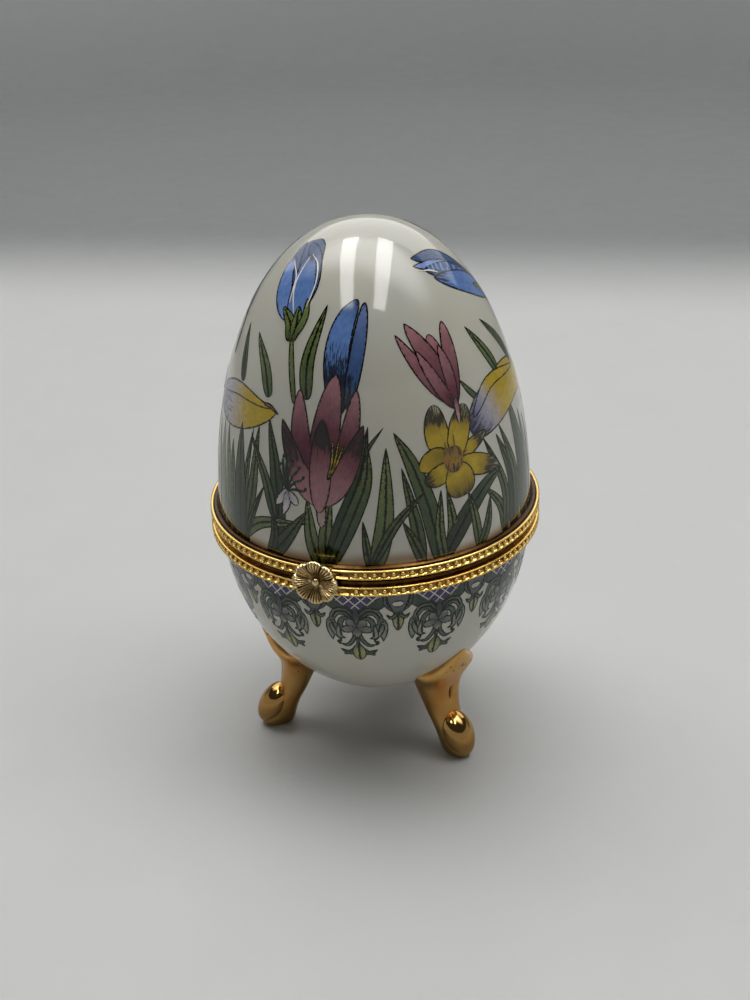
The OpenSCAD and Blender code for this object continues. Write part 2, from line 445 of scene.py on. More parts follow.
def maths(tree, operation, first, second):
    """One sum on two numbers, each a socket or a plain number."""
    made = node(tree, "ShaderNodeMath", operation=operation)
    for index, source in enumerate((first, second)):
        if isinstance(source, bpy.types.NodeSocket):
            tree.links.new(source, made.inputs[index])
        else:
            made.inputs[index].default_value = source
    return made.outputs[0]


def field(tree, name, output="Fac"):
    """A value carried on the piece's own points."""
    return node(tree, "ShaderNodeAttribute", attribute_name=name).outputs[output]


def ripple(tree, shader, height, distance, strength=1.0):
    """Fine relief on the shader's normal."""
    bump = node(tree, "ShaderNodeBump", {"Height": height}, {"Strength": strength, "Distance": distance})
    feed(shader, "Normal", bump.outputs["Normal"])


def glazed_porcelain(sizes):
    """White glazed porcelain: clouded faintly, with pin-prick specks, a painted brown reflection of the brass
    with painted shade beside the upper rim, and an uneven glassy gloss."""
    material, tree, shader, places = start_material("glazed_porcelain")
    white = tuple(sizes.glaze)
    warm = (white[0] * 1.03, white[1], white[2] * 0.94)
    cloud = remap(tree, noise(tree, places, 70.0, 3.0), 0.35, 0.65)
    base = blend_colour(tree, cloud, white, warm)
    cells = node(tree, "ShaderNodeTexVoronoi", {"Vector": places}, {"Scale": 230.0})
    pick = remap(tree, noise(tree, places, 140.0, 1.0), 0.66, 0.70)
    dot = remap(tree, cells.outputs["Distance"], 0.03, 0.09, 0.75, 0.0)
    base = blend_colour(tree, maths(tree, "MULTIPLY", dot, pick), base, (0.10, 0.07, 0.05))
    height = height_of(tree, places)
    # Painted reflection and shade: a brown band on the lid just above the rim, where the glaze would mirror
    # the brass and lie in its shade; its upper edge wanders by noise.
    reflection_edge_wander = remap(tree, noise(tree, places, 55.0, 2.0), 0.35, 0.7, 0.0, 2.2 * MM)
    above = maths(tree, "SUBTRACT", maths(tree, "SUBTRACT", height, PARTING), reflection_edge_wander)
    band = maths(tree, "MULTIPLY", remap(tree, above, 2.6 * MM, 4.6 * MM, 0.8, 0.0, smooth=True),
                 remap(tree, height, PARTING, PARTING + 0.5 * MM))
    base = blend_colour(tree, band, base, (0.26, 0.145, 0.07))
    feed(shader, "Base Color", base)
    feed(shader, "Roughness", uneven(tree, places, 260.0, 2.0, 0.055, 0.095))
    shader.inputs["IOR"].default_value = 1.52
    ripple(tree, shader, noise(tree, places, 420.0, 1.0), 0.00002, 0.5)
    return material


def enamel_paint(colours):
    """Painted and fired enamel under the same gloss as the glaze: brushed colour from the strokes' own
    points, hatching where they are stained, and drawn outlines with a trace of gold in them."""
    material, tree, shader, places = start_material("enamel_paint")
    brush = field(tree, "stroke", "Vector")
    along = node(tree, "ShaderNodeMapping", {"Vector": brush}, {"Scale": (5.0, 0.5, 7.0)}).outputs[0]
    streak = noise(tree, along, 1.0, 3.0, 0.6)
    soft = noise(tree, brush, 0.9, 2.0)
    base = field(tree, "paint", "Color")
    base = blend_colour(tree, remap(tree, streak, 0.35, 0.7, 0.0, 0.35), base, (1.0, 1.0, 1.0), "SOFT_LIGHT")
    base = blend_colour(tree, remap(tree, soft, 0.3, 0.7, 0.0, 0.35), base, (0.45, 0.45, 0.5), "MULTIPLY")
    stained = maths(tree, "SUBTRACT", field(tree, "stain"), streak)
    base = blend_colour(tree, remap(tree, stained, -0.06, 0.05, 0.0, 0.9), base, tuple(colours.ink))
    wander = uneven(tree, brush, 2.3, 1.0, 0.6, 1.35)
    width = maths(tree, "MULTIPLY", wander, colours.line / MM)
    from_line = maths(tree, "DIVIDE", field(tree, "line"), width)
    drawn = remap(tree, from_line, 0.75, 1.25, 1.0, 0.0)
    base = blend_colour(tree, drawn, base, tuple(colours.ink))
    feed(shader, "Base Color", base)
    feed(shader, "Metallic", maths(tree, "MULTIPLY", drawn, 0.35))
    feed(shader, "Roughness", remap(tree, soft, 0.3, 0.7, 0.07, 0.13))
    shader.inputs["IOR"].default_value = 1.52
    ripple(tree, shader, noise(tree, places, 420.0, 1.0), 0.00002, 0.5)
    return material


def rim_brass(rim):
    """Bright plated brass: low places are antiqued brown and darkened further by painted shade, nearly black
    deep in the trough; high places are rubbed, with fine scratches.
    """
    material, tree, shader, places = start_material("rim_brass")
    low = maths(tree, "ADD", field(tree, "recess"), uneven(tree, places, 900.0, 2.0, -0.15, 0.15))
    base = blend_colour(tree, remap(tree, low, 0.15, 0.95), tuple(rim.bright), tuple(rim.dark))
    # Painted shade: the deepest places, in the trough between the band and the porcelain, go nearly black.
    base = blend_colour(tree, remap(tree, low, 1.0, 1.5), base, (0.05, 0.024, 0.008))
    warm = remap(tree, noise(tree, places, 160.0, 2.0), 0.35, 0.65, 0.0, 0.5)
    base = blend_colour(tree, warm, base, (0.95, 0.75, 0.5), "MULTIPLY")
    feed(shader, "Base Color", base)
    feed(shader, "Roughness", uneven(tree, places, 700.0, 3.0, 0.14, 0.30))
    shader.inputs["Metallic"].default_value = 1.0
    ripple(tree, shader, noise(tree, places, 1500.0, 2.0), 0.00003, 0.5)
    return material


def fitting_brass(rim):
    """Plain brass for the soldered fittings: tarnish in clouds and a fine drawn grain along X."""
    material, tree, shader, places = start_material("fitting_brass")
    grain = node(tree, "ShaderNodeMapping", {"Vector": places}, {"Scale": (0.15, 1.0, 1.0)}).outputs[0]
    tarnish = remap(tree, noise(tree, places, 380.0, 3.0), 0.4, 0.75, 0.0, 0.7)
    base = blend_colour(tree, tarnish, tuple(rim.bright), (0.34, 0.19, 0.06))
    feed(shader, "Base Color", base)
    feed(shader, "Roughness", uneven(tree, grain, 2600.0, 2.0, 0.18, 0.36))
    shader.inputs["Metallic"].default_value = 1.0
    ripple(tree, shader, noise(tree, grain, 2600.0, 2.0), 0.00003, 0.4)
    return material


def cast_gold(flower):
    """Antique gold of the cast flower: brown in the creases, by patina and painted shade, and bright on the
    crinkled edges.
    """
    material, tree, shader, places = start_material("cast_gold")
    low = maths(tree, "ADD", field(tree, "recess"), uneven(tree, places, 1400.0, 2.0, -0.2, 0.2))
    base = blend_colour(tree, remap(tree, low, 0.1, 0.9), tuple(flower.gold), (0.10, 0.055, 0.02))
    feed(shader, "Base Color", base)
    feed(shader, "Roughness", remap(tree, low, 0.1, 0.9, 0.22, 0.45))
    shader.inputs["Metallic"].default_value = 1.0
    ripple(tree, shader, noise(tree, places, 1800.0, 3.0), 0.00008, 0.7)
    return material


def gold_lustre(foot):
    """Fired gold lustre: satin on the leg, polished on the toe, orange in clouds, darkened by painted shade
    near the table and down the slit on the knee, and worn through in specks."""
    material, tree, shader, places = start_material("gold_lustre")
    gold = tuple(foot.lustre)
    cloud = remap(tree, noise(tree, places, 210.0, 3.0), 0.35, 0.7)
    base = blend_colour(tree, cloud, gold, (gold[0] * 0.95, gold[1] * 0.72, gold[2] * 0.6))
    height = height_of(tree, places)
    # Painted shade: darker towards the table.
    base = blend_colour(tree, remap(tree, height, 3 * MM, 16 * MM, 0.7, 0.0), base, tint(gold, 0.4))
    worn = remap(tree, noise(tree, places, 1100.0, 2.0), 0.66, 0.70)
    worn = maths(tree, "MULTIPLY", worn, field(tree, "wear"))
    base = blend_colour(tree, worn, base, (0.10, 0.06, 0.03))
    # Painted shadow down the slit on the knee.
    shade = remap(tree, field(tree, "slit"), 0.25, 0.8, 0.0, 0.92)
    base = blend_colour(tree, shade, base, (0.05, 0.022, 0.008))
    feed(shader, "Base Color", base)
    satin = uneven(tree, places, 500.0, 2.0, 0.27, 0.38)
    gloss = node(tree, "ShaderNodeMix", {0: field(tree, "polish"), 2: satin}, {3: 0.09}, data_type="FLOAT")
    feed(shader, "Roughness", gloss.outputs[0])
    shader.inputs["Metallic"].default_value = 1.0
    ripple(tree, shader, noise(tree, places, 300.0, 2.0), 0.00008, 0.6)
    return material


# The stage, in metres: the direction that the backdrop lies in, and the distances along it between which the
# table gives way to it; the ceiling light's half sizes, how far back it hangs, and its height
BACKWARDS = (-0.181, 0.984, 0.0)
TABLE_END = (0.222, 0.32)
CEILING_REACH = (1.5, 0.5)
CEILING_BACK = 0.18
CEILING_HEIGHT = 1.0


def table_top(stage):
    """Pale matt table that turns to a grey backdrop beyond a line behind the box, with a faint grain."""
    material, tree, shader, places = start_material("table_top")
    apart = node(tree, "ShaderNodeVectorMath", {0: places}, {1: BACKWARDS}, operation="DOT_PRODUCT")
    away = remap(tree, apart.outputs["Value"], *TABLE_END, smooth=True)
    near = blend_colour(tree, noise(tree, places, 35.0, 3.0), tuple(stage.table), (0.515, 0.52, 0.505))
    far = blend_colour(tree, noise(tree, places, 9.0, 3.0), tuple(stage.beyond), (0.176, 0.181, 0.181))
    feed(shader, "Base Color", blend_colour(tree, away, near, far))
    feed(shader, "Roughness", uneven(tree, places, 90.0, 2.0, 0.5, 0.62))
    ripple(tree, shader, noise(tree, places, 900.0, 2.0), 0.0001, 0.4)
    return material


def ceiling_light(stage):
    """Light of the ceiling panel: full in the middle, and fading smoothly to nothing at the edge."""
    material, tree, shader, places = start_material("ceiling_light")
    shrunk = node(tree, "ShaderNodeMapping", {"Vector": places},
                  {"Scale": (1 / CEILING_REACH[0], 1 / CEILING_REACH[1], 0.0),
                   "Location": (0.0, -CEILING_BACK / CEILING_REACH[1], 0.0)}).outputs[0]
    apart = node(tree, "ShaderNodeVectorMath", {0: shrunk}, operation="LENGTH").outputs["Value"]
    feed(shader, "Emission Strength", remap(tree, apart, 0.3, 1.0, stage.ceiling, 0.0, smooth=True))
    shader.inputs["Emission Color"].default_value = (1, 1, 1, 1)
    shader.inputs["Base Color"].default_value = (0, 0, 0, 1)
    return material


# ---------------------------------------------------------------- porcelain

def porcelain_cup(sizes, upward):
    """One half of the egg: the outer outline and a second, smaller one inside it, joined at the mouth and
    carried round. Both are half_egg curves, so the wall thins or thickens evenly towards the pole."""
    rise, fullness, pole = half_sizes(sizes, upward)
    outer = np.stack(half_egg(sizes.radius, rise, fullness, upward, EDGE, 110))
    inner = np.stack(half_egg(sizes.radius - sizes.wall, rise - pole, fullness, upward, EDGE, 50))
    r, z = np.concatenate([outer, inner[:, ::-1]], axis=1)
    angle = np.linspace(0, 2 * math.pi, 256, endpoint=False)[:, None]
    return ring_solid(round_the_egg(r, z, angle))


# ---------------------------------------------------------------- rims

# Section of a rim, in millimetres: radius, height from the parting line, depth of tarnish and painted shade,
# share of notching
RIM_SECTION = np.array([
    (25.60, 0.05, 0.3, 0.0), (29.00, 0.05, 0.9, 0.0), (29.28, 0.12, 1.3, 0.0), (29.28, 0.60, 1.3, 0.0),
    (29.36, 0.69, 0.9, 0.0), (30.00, 0.72, 0.3, 0.0), (30.34, 0.76, 0.0, 0.0), (30.43, 0.86, 0.0, 0.0),
    (30.40, 0.97, 0.0, 0.3), (30.26, 1.06, 0.2, 1.0), (30.08, 1.14, 0.6, 1.0), (29.98, 1.30, 0.85, 0.8),
    (29.97, 1.62, 0.9, 0.0), (29.98, 1.92, 0.85, 0.8), (30.08, 2.06, 0.6, 1.0), (30.26, 2.14, 0.2, 1.0),
    (30.40, 2.22, 0.0, 0.3), (30.43, 2.34, 0.0, 0.0), (30.34, 2.46, 0.0, 0.0), (30.15, 2.50, 0.0, 0.0),
    (29.92, 2.48, 0.3, 0.0), (29.80, 2.36, 1.5, 0.0), (29.50, 2.28, 1.6, 0.0), (29.10, 2.42, 1.5, 0.0),
    (28.84, 2.70, 1.5, 0.0), (28.82, 2.50, 1.5, 0.0), (28.88, 1.20, 1.0, 0.0), (28.88, 0.60, 0.5, 0.0),
    (26.25, 0.60, 0.5, 0.0), (26.25, 3.30, 0.2, 0.0), (26.15, 3.40, 0.1, 0.0), (25.68, 3.40, 0.1, 0.0),
    (25.60, 3.32, 0.2, 0.0),
])
BEAD_SEAT = (30.08, 1.62)
NOTCH_RISE = 0.26


def beaded(rim, angle):
    """1 where the bead row runs, 0 behind the clasp and under the hinge."""
    from_clasp = np.abs((angle + math.pi) % (2 * math.pi) - math.pi)
    return (from_clasp > rim.clasp_bare) & (from_clasp < math.pi - rim.hinge_bare)


def rim_band(rim, upward):
    """One rim: its section carried round, with a small wave added to the channel's lower side. The wave is
    the cosine of the bead count times the angle, kept where it is negative, so it peaks between beads."""
    angle = np.linspace(0, 2 * math.pi, 8 * rim.beads, endpoint=False)[:, None]
    r, z, tarnish, notch = RIM_SECTION.T
    notch = notch * (upward * (z - BEAD_SEAT[1]) < 0)
    wave = np.maximum(-np.cos(rim.beads * angle), 0) ** 1.5 * beaded(rim, angle)
    radius = (r + NOTCH_RISE * notch * wave) * MM
    # Painted highlight, partly rubbed wear: the tarnish and painted shade are thinned on the wave crests
    # between the beads, which show as bright triangles.
    tarnish = np.maximum(tarnish - 0.8 * notch * wave, 0)
    return ring_solid(round_the_egg(radius, PARTING + upward * z * MM, angle), recess=tarnish)


def bead_row(rim, upward):
    """One rim's beads: four rings of a sphere, closed flat behind, copied to each bead's angle."""
    polar = np.radians([0, 38, 72, 112])[:, None]
    round_it = np.linspace(0, 2 * math.pi, 9, endpoint=False)
    # Painted shade on the back rings of each bead, where it sits in the channel.
    ball = loft(np.stack(np.broadcast_arrays(
        np.cos(polar), np.sin(polar) * np.cos(round_it), np.sin(polar) * np.sin(round_it)), -1),
        recess=np.array([0, 0, 0.15, 0.7])[:, None] * np.ones(9))
    angle = np.arange(rim.beads) * 2 * math.pi / rim.beads
    angle = angle[beaded(rim, angle)][:, None]
    out, side, up = (ball["points"] * rim.bead).T
    seat = BEAD_SEAT[0] * MM + out
    points = round_the_egg(seat, PARTING + upward * (BEAD_SEAT[1] * MM) + up, angle)
    points = points + np.stack([side * np.cos(angle), side * np.sin(angle), 0 * side + 0 * angle], -1)
    shift = np.arange(len(angle))[:, None, None] * len(ball["points"])
    return {
        "points": points.reshape(-1, 3),
        "triangles": (ball["triangles"] + shift).reshape(-1, 3),
        "values": {"recess": np.tile(ball["values"]["recess"], len(angle))},
    }


# ---------------------------------------------------------------- clasp

def flower_skin(flower):
    """The flower: a dished disc. Its edge and its height follow lobe = |cos(petals x angle / 2)|, which dips
    to 0 in the creases, and the flutes are a finer cosine of the angle that fades at the middle and edge."""
    low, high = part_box("clasp_rosette")
    reach, back, depth = (high.x - low.x) / 2, -high.y, high.y - low.y
    middle = (high.z + low.z) / 2
    share = np.concatenate([np.linspace(0, 1, 34), [1.0, 0.97, 0.7, 0.45, 0.0]])[:, None]
    behind = np.arange(len(share))[:, None] >= 34
    theta = np.linspace(0, 2 * math.pi, 64 * flower.petals, endpoint=False)
    lobe = np.abs(np.cos(flower.petals / 2 * (theta - math.pi / 2)))
    outline = reach * (0.86 + 0.14 * lobe ** 0.55)
    rise = np.clip((share - 0.16) / 0.68, 0, 1)
    rise = rise * rise * (3 - 2 * rise)
    edge = np.clip((share - 0.86) / 0.14, 0, 1)
    body = np.clip((share - 0.22) / 0.2, 0, 1) * (1 - 0.6 * edge)
    crease = body * np.clip(1 - lobe / 0.5, 0, 1) ** 1.4
    flute = body * np.cos(flower.petals * flower.flutes * (theta - math.pi / 2))
    crinkle = np.clip((share - 0.8) / 0.12, 0, 1) * np.cos(3 * flower.petals * flower.flutes * theta)
    front = depth * (0.3 + 0.66 * rise - 0.22 * edge ** 2)
    front = front - flower.crease * crease + 0.14 * MM * flute + 0.04 * MM * crinkle
    rear = depth * np.clip((share - 0.48) / 0.42, 0, 1) * 0.5
    height = np.where(behind, rear + 0 * theta, np.clip(front, 0.15 * depth, depth))
    r = share * outline
    points = np.stack([r * np.cos(theta), -(back + height), middle + r * np.sin(theta)], -1)
    # Patina and painted shade: darkest in the creases, down the flute valleys and in the dished middle; none
    # on the crinkled edge.
    recess = np.clip(1.1 * crease + 0.9 * np.clip(-flute, 0, 1) ** 0.7 + 0.4 * (1 - rise) - 0.8 * edge, 0, 1)
    return loft(points, recess=recess)


def rivet_skin():
    """The rivet: a stem, and a dome whose radius is the sine and whose height is the cosine of one angle."""
    low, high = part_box("clasp_rivet")
    middle, radius = (low.z + high.z) / 2, (high.x - low.x) / 2
    polar = np.radians(np.linspace(0, 90, 14))
    r = np.concatenate([radius * np.sin(polar), [radius, 0.4 * MM, 0.4 * MM]])[:, None]
    seat = low.y + radius
    y = np.concatenate([seat - radius * np.cos(polar), [seat + 0.12 * MM, seat + 0.12 * MM, high.y]])[:, None]
    theta = np.linspace(0, 2 * math.pi, 40, endpoint=False)
    points = np.stack(np.broadcast_arrays(r * np.cos(theta), y, middle + r * np.sin(theta)), -1)
    # Painted shade round the edge of the dome, where it meets the flower.
    return loft(points, recess=np.clip((r / radius - 0.85) / 0.15, 0, 1) * np.ones(40))


# ---------------------------------------------------------------- feet

# Stations of a foot, in millimetres: height, distance out to the middle, half depth, half width
FOOT_STATIONS = np.array([
    (24.0, 22.9, 0.0, 0.0), (23.2, 22.3, 0.9, 1.1), (21.2, 20.4, 2.3, 3.3), (18.3, 17.6, 4.1, 6.5),
    (15.2, 16.4, 3.8, 5.1), (12.5, 16.4, 3.3, 4.2), (10.0, 17.0, 2.85, 3.6), (8.0, 17.7, 2.6, 3.3),
    (6.0, 18.8, 2.6, 3.0), (4.0, 19.9, 2.9, 2.8), (2.0, 20.9, 3.4, 2.6), (0.8, 21.1, 3.2, 2.3),
    (0.15, 21.1, 2.7, 1.8), (0.0, 21.1, 2.3, 1.4),
])
FOOT_SQUARENESS = 2.3
SLIT_HEIGHT, SLIT_LENGTH = 12.6 * MM, 1.5 * MM
SLIT_WIDTH, SLIT_DEPTH = 0.3 * MM, 0.7 * MM
TOE_OUT, TOE_HEIGHT = 21.8 * MM, 4.6 * MM
TOE_THICK, TOE_WIDE = 2.6 * MM, 3.05 * MM
TOE_SLOPE = math.radians(58)


def at_foot(out, across, height, angle):
    """Turns distances out from the egg's middle line and across the foot into points."""
    x = out * math.sin(angle) + across * math.cos(angle)
    y = -out * math.cos(angle) + across * math.sin(angle)
    return np.stack(np.broadcast_arrays(x, y, height), -1)


def foot_skin(foot, sizes, angle):
    """A foot: rounded sections, |x|^n + |y|^n = 1, run smoothly through the stations, with a shallow slit
    down the knee, and kept out of the bowl's hollow; then the toe's polished drop, a tilted ellipsoid that
    is a little wider at its lower end."""
    stations = smooth_line(FOOT_STATIONS, np.linspace(0, 1, 66)) * MM
    height, out, deep, wide = stations.T[..., None]
    height, deep, wide = np.maximum(height, 0), np.maximum(deep, 0), np.maximum(wide, 0)
    theta = np.linspace(0, 2 * math.pi, 96, endpoint=False)
    theta = theta - 0.75 * np.sin(2 * theta) / 2 * (np.cos(theta) > 0)
    x = np.sign(np.cos(theta)) * np.abs(np.cos(theta)) ** (2 / FOOT_SQUARENESS)
    y = np.sign(np.sin(theta)) * np.abs(np.sin(theta)) ** (2 / FOOT_SQUARENESS)
    across = wide * y
    slit = np.exp(-(across / SLIT_WIDTH) ** 2) * np.exp(-((height - SLIT_HEIGHT) / SLIT_LENGTH) ** 4)
    reach = out + deep * x - SLIT_DEPTH * slit * (x > 0)
    rise = PARTING - BOWL_BOX[0].z - sizes.floor / 2
    core = np.maximum(1 - ((PARTING - height) / rise) ** 2, 0) ** 0.5 * (sizes.radius - sizes.wall / 2)
    away = np.hypot(reach, across)
    push = np.maximum(core / np.maximum(away, 1e-9), 1)
    points = at_foot(reach * push, across * push, height, angle)
    wear = np.clip((height - 13 * MM) / (5 * MM), 0, 1) * np.ones(96)
    polish = np.clip((3.5 * MM - height) / (1.5 * MM), 0, 1) * np.ones(96)
    leg = loft(points, polish=polish, wear=wear, slit=slit * (x > 0))
    polar = np.linspace(0, math.pi, 22)[:, None]
    around = np.linspace(0, 2 * math.pi, 36, endpoint=False)
    longways = foot.toe * np.cos(polar) + 0 * around
    thick = TOE_THICK * np.sin(polar) * np.cos(around)
    toe = at_foot(
        TOE_OUT + longways * math.cos(TOE_SLOPE) + thick * math.sin(TOE_SLOPE),
        TOE_WIDE * (1 - 0.12 * np.cos(polar)) * np.sin(polar) * np.sin(around),
        TOE_HEIGHT - longways * math.sin(TOE_SLOPE) + thick * math.cos(TOE_SLOPE), angle)
    ones = np.ones(toe.shape[:2])
    return together([leg, loft(toe, polish=ones, wear=0 * ones, slit=0 * ones)])


# ---------------------------------------------------------------- painting

# Distance, in millimetres, that keeps a drawn outline off a stroke
FAR_FROM_LINE = 9.0


def stroke(chart, path, half_width, tones, layer, swell=0.5, taper=0.8, stain=(0, 0), outlined=True,
           rib=False, rows=20, across=7, turn=0.0, side=1):
    """One painted petal, leaf or line: a thin closed skin that lies on the glaze. Its middle is a smooth
    curve through (angle from the clasp in degrees, length from the parting line in millimetres). Its
    half-width is half_width (t/m)^swell ((1-t)/(1-m))^taper with m = swell/(swell+taper), which is widest
    at m. It carries its colour, its stain, the distance to the nearest drawn line, and brush places."""
    t = (1 - np.cos(math.pi * np.linspace(0, 1, rows))) / 2
    middle = smooth_line(np.asarray(path, float) * (side, 1) + (turn, 0), t)
    radius = np.maximum(np.interp(middle[:, 1] * MM, chart["length"], chart["radius"]) / MM, 1)
    step = np.gradient(middle, axis=0)
    east, north = np.radians(step[:, 0]) * radius, step[:, 1]
    pace = np.hypot(east, north)
    run = np.concatenate([[0], np.cumsum((pace[1:] + pace[:-1]) / 2)])
    peak = swell / (swell + taper)
    half = half_width * (t / max(peak, 1e-9)) ** swell if swell else np.full(rows, half_width)
    half = half * ((1 - t) / (1 - peak)) ** taper
    s = np.concatenate([np.linspace(-1, 1, across), [0.4, -0.4]])
    above = np.arange(len(s)) < across
    offset = half[:, None] * s
    along = middle[:, 1, None] - offset * (east / pace)[:, None]
    reach = np.maximum(np.interp(along * MM, chart["length"], chart["radius"]) / MM, 1)
    angle = middle[:, 0, None] + np.degrees(offset * (north / pace)[:, None] / reach)
    top = 0.02 + 0.008 * layer
    under = top - (top + 0.04) * np.minimum(half[:, None] / 0.08, 1)
    points = on_glaze(chart, angle, along, np.where(above, top, under))
    line = half[:, None] * (1 - np.abs(s)) if outlined else np.full(offset.shape, FAR_FROM_LINE)
    if rib:
        line = np.minimum(line, np.abs(offset) + 0.05 + 0.5 * np.clip(t - 0.75, 0, 1)[:, None])
    stops = np.linspace(0, 1, len(tones))
    channels = [np.interp(t, stops, channel) for channel in np.asarray(tones, float).T]
    colour = np.stack(channels + [np.ones(rows)], -1)
    staining = np.interp(t, np.linspace(0, 1, len(stain)), stain)
    shape = offset.shape
    seed = path[0][0] * 0.37 + path[-1][1] * 0.11 + layer
    brush = np.stack(np.broadcast_arrays(offset, run[:, None], seed), -1)
    return loft(
        points, paint=np.broadcast_to(colour[:, None], shape + (4,)), line=line,
        stain=np.broadcast_to(staining[:, None], shape), stroke=brush)


# Leaves of the meadow: middle line from foot to tip, half-width, and depth of tone from 0, pale, to 2, deep
LEAVES = [
    ([(-76, 2), (-77, 12), (-73, 23)], 1.5, 1), ([(-70, 2), (-69, 13), (-63, 25)], 1.25, 1),
    ([(-64, 2), (-62, 10), (-66, 20)], 1.38, 0), ([(-58, 2), (-56, 12), (-59, 21)], 1.12, 1),
    ([(-52, 2), (-51, 12), (-53, 22)], 1.5, 0), ([(-46, 2), (-45, 12), (-48, 22)], 1.38, 0),
    ([(-41, 2), (-41, 11), (-43, 20)], 1.25, 1), ([(-36, 2), (-36, 12), (-37.5, 24)], 2, 2),
    ([(-32, 2), (-33, 12), (-30, 24)], 1, 1), ([(-33, 3), (-28.5, 14), (-27, 25)], 1.25, 1),
    ([(-33, 3), (-28, 9), (-22.5, 14.7)], 0.75, 1), ([(-17.5, 9), (-22, 16), (-31, 23)], 1.12, 1),
    ([(-17.5, 2), (-16, 10), (-18, 19), (-22.5, 27)], 1.56, 2),
    ([(-36, 2.6), (-24, 7.6), (-4.5, 9.7)], 1.25, 0),
    ([(-20, 2.2), (-14, 5.5), (-4.5, 12)], 1.56, 2), ([(-20.5, 2), (-18, 6), (-18.5, 11)], 1, 2),
    ([(0.5, 1.5), (-3, 7), (-4.5, 14.5)], 1.44, 0), ([(2, 1.5), (2, 8), (4.2, 15)], 1.38, 0),
    ([(2.5, 2), (7.5, 10), (14.5, 19), (17.8, 27.3)], 1.31, 2),
    ([(3.5, 2), (12, 12), (16.5, 18), (17.5, 24)], 1.44, 1),
    ([(12, 17), (17, 23), (23.5, 27)], 0.44, 1), ([(17, 2), (16, 6), (15, 11)], 0.81, 1),
    ([(19, 2), (22.5, 11), (24, 23.6)], 1.69, 0), ([(17.5, 2.5), (26, 10), (36.5, 15.2)], 0.94, 1),
    ([(35, 2.5), (33, 10), (29, 20)], 1.19, 1), ([(41, 2), (38.5, 11), (33, 20), (27, 26)], 1.69, 1),
    ([(35.5, 2), (32.5, 6), (28.5, 10.5)], 1, 1), ([(43, 2), (41.5, 8), (42.7, 15)], 1, 0),
    ([(44.5, 2), (46.5, 8), (45, 15)], 1.12, 0), ([(43, 2.5), (52, 9), (62, 13.3), (71, 15)], 1.81, 2),
    ([(57.5, 2), (56, 8), (53.5, 13.5)], 1, 0), ([(57.5, 2), (61.5, 6), (63.5, 11)], 1.06, 1),
    ([(71, 2.5), (69, 8), (61, 13)], 1.12, 1), ([(71.5, 2.5), (72, 11), (63, 21.7)], 1.19, 1),
    ([(76, 2), (77, 12), (70.5, 21)], 1.44, 2), ([(79, 2), (80, 12), (73, 22.5)], 1.25, 1),
    ([(86, 2), (87, 14), (83, 26)], 2.38, 2), ([(92, 2), (93, 12), (91, 22)], 1.38, 1),
    ([(97, 2), (99, 11), (96, 20)], 1.25, 0),
    ([(-24, 30), (-30, 35), (-41, 39.6)], 1.25, 0), ([(-42.5, 30.5), (-47, 35), (-53, 40)], 1.06, 1),
    ([(-6.5, 31), (-7.8, 38), (-2.8, 47)], 1.31, 0), ([(82, 30.5), (77, 35), (69.5, 40.3)], 1.19, 0),
    ([(100, 29.5), (93, 35), (83, 40)], 1.12, 1), ([(66, 27.5), (61, 30), (57, 32.5)], 0.62, 1),
]


def meadow_leaves(chart, colours):
    """The leaves, twice round the lid."""
    deep, fresh = tuple(colours.leaf_deep), tuple(colours.leaf_fresh)
    ramps = [
        [between(deep, fresh, 0.25), between(deep, fresh, 0.7), tint(fresh, 1.15)],
        [deep, between(deep, fresh, 0.35), between(deep, fresh, 0.85)],
        [tint(deep, 0.6), deep, between(deep, fresh, 0.4)],
    ]
    skins = []
    for turn in (0, 180):
        for number, (path, width, depth) in enumerate(LEAVES):
            skins.append(stroke(
                chart, path, width, ramps[depth], layer=number % 4, swell=0.35, taper=0.75,
                stain=(0.42, 0.2, 0, 0.1), rib=width > 0.7, turn=turn))
    return together(skins)


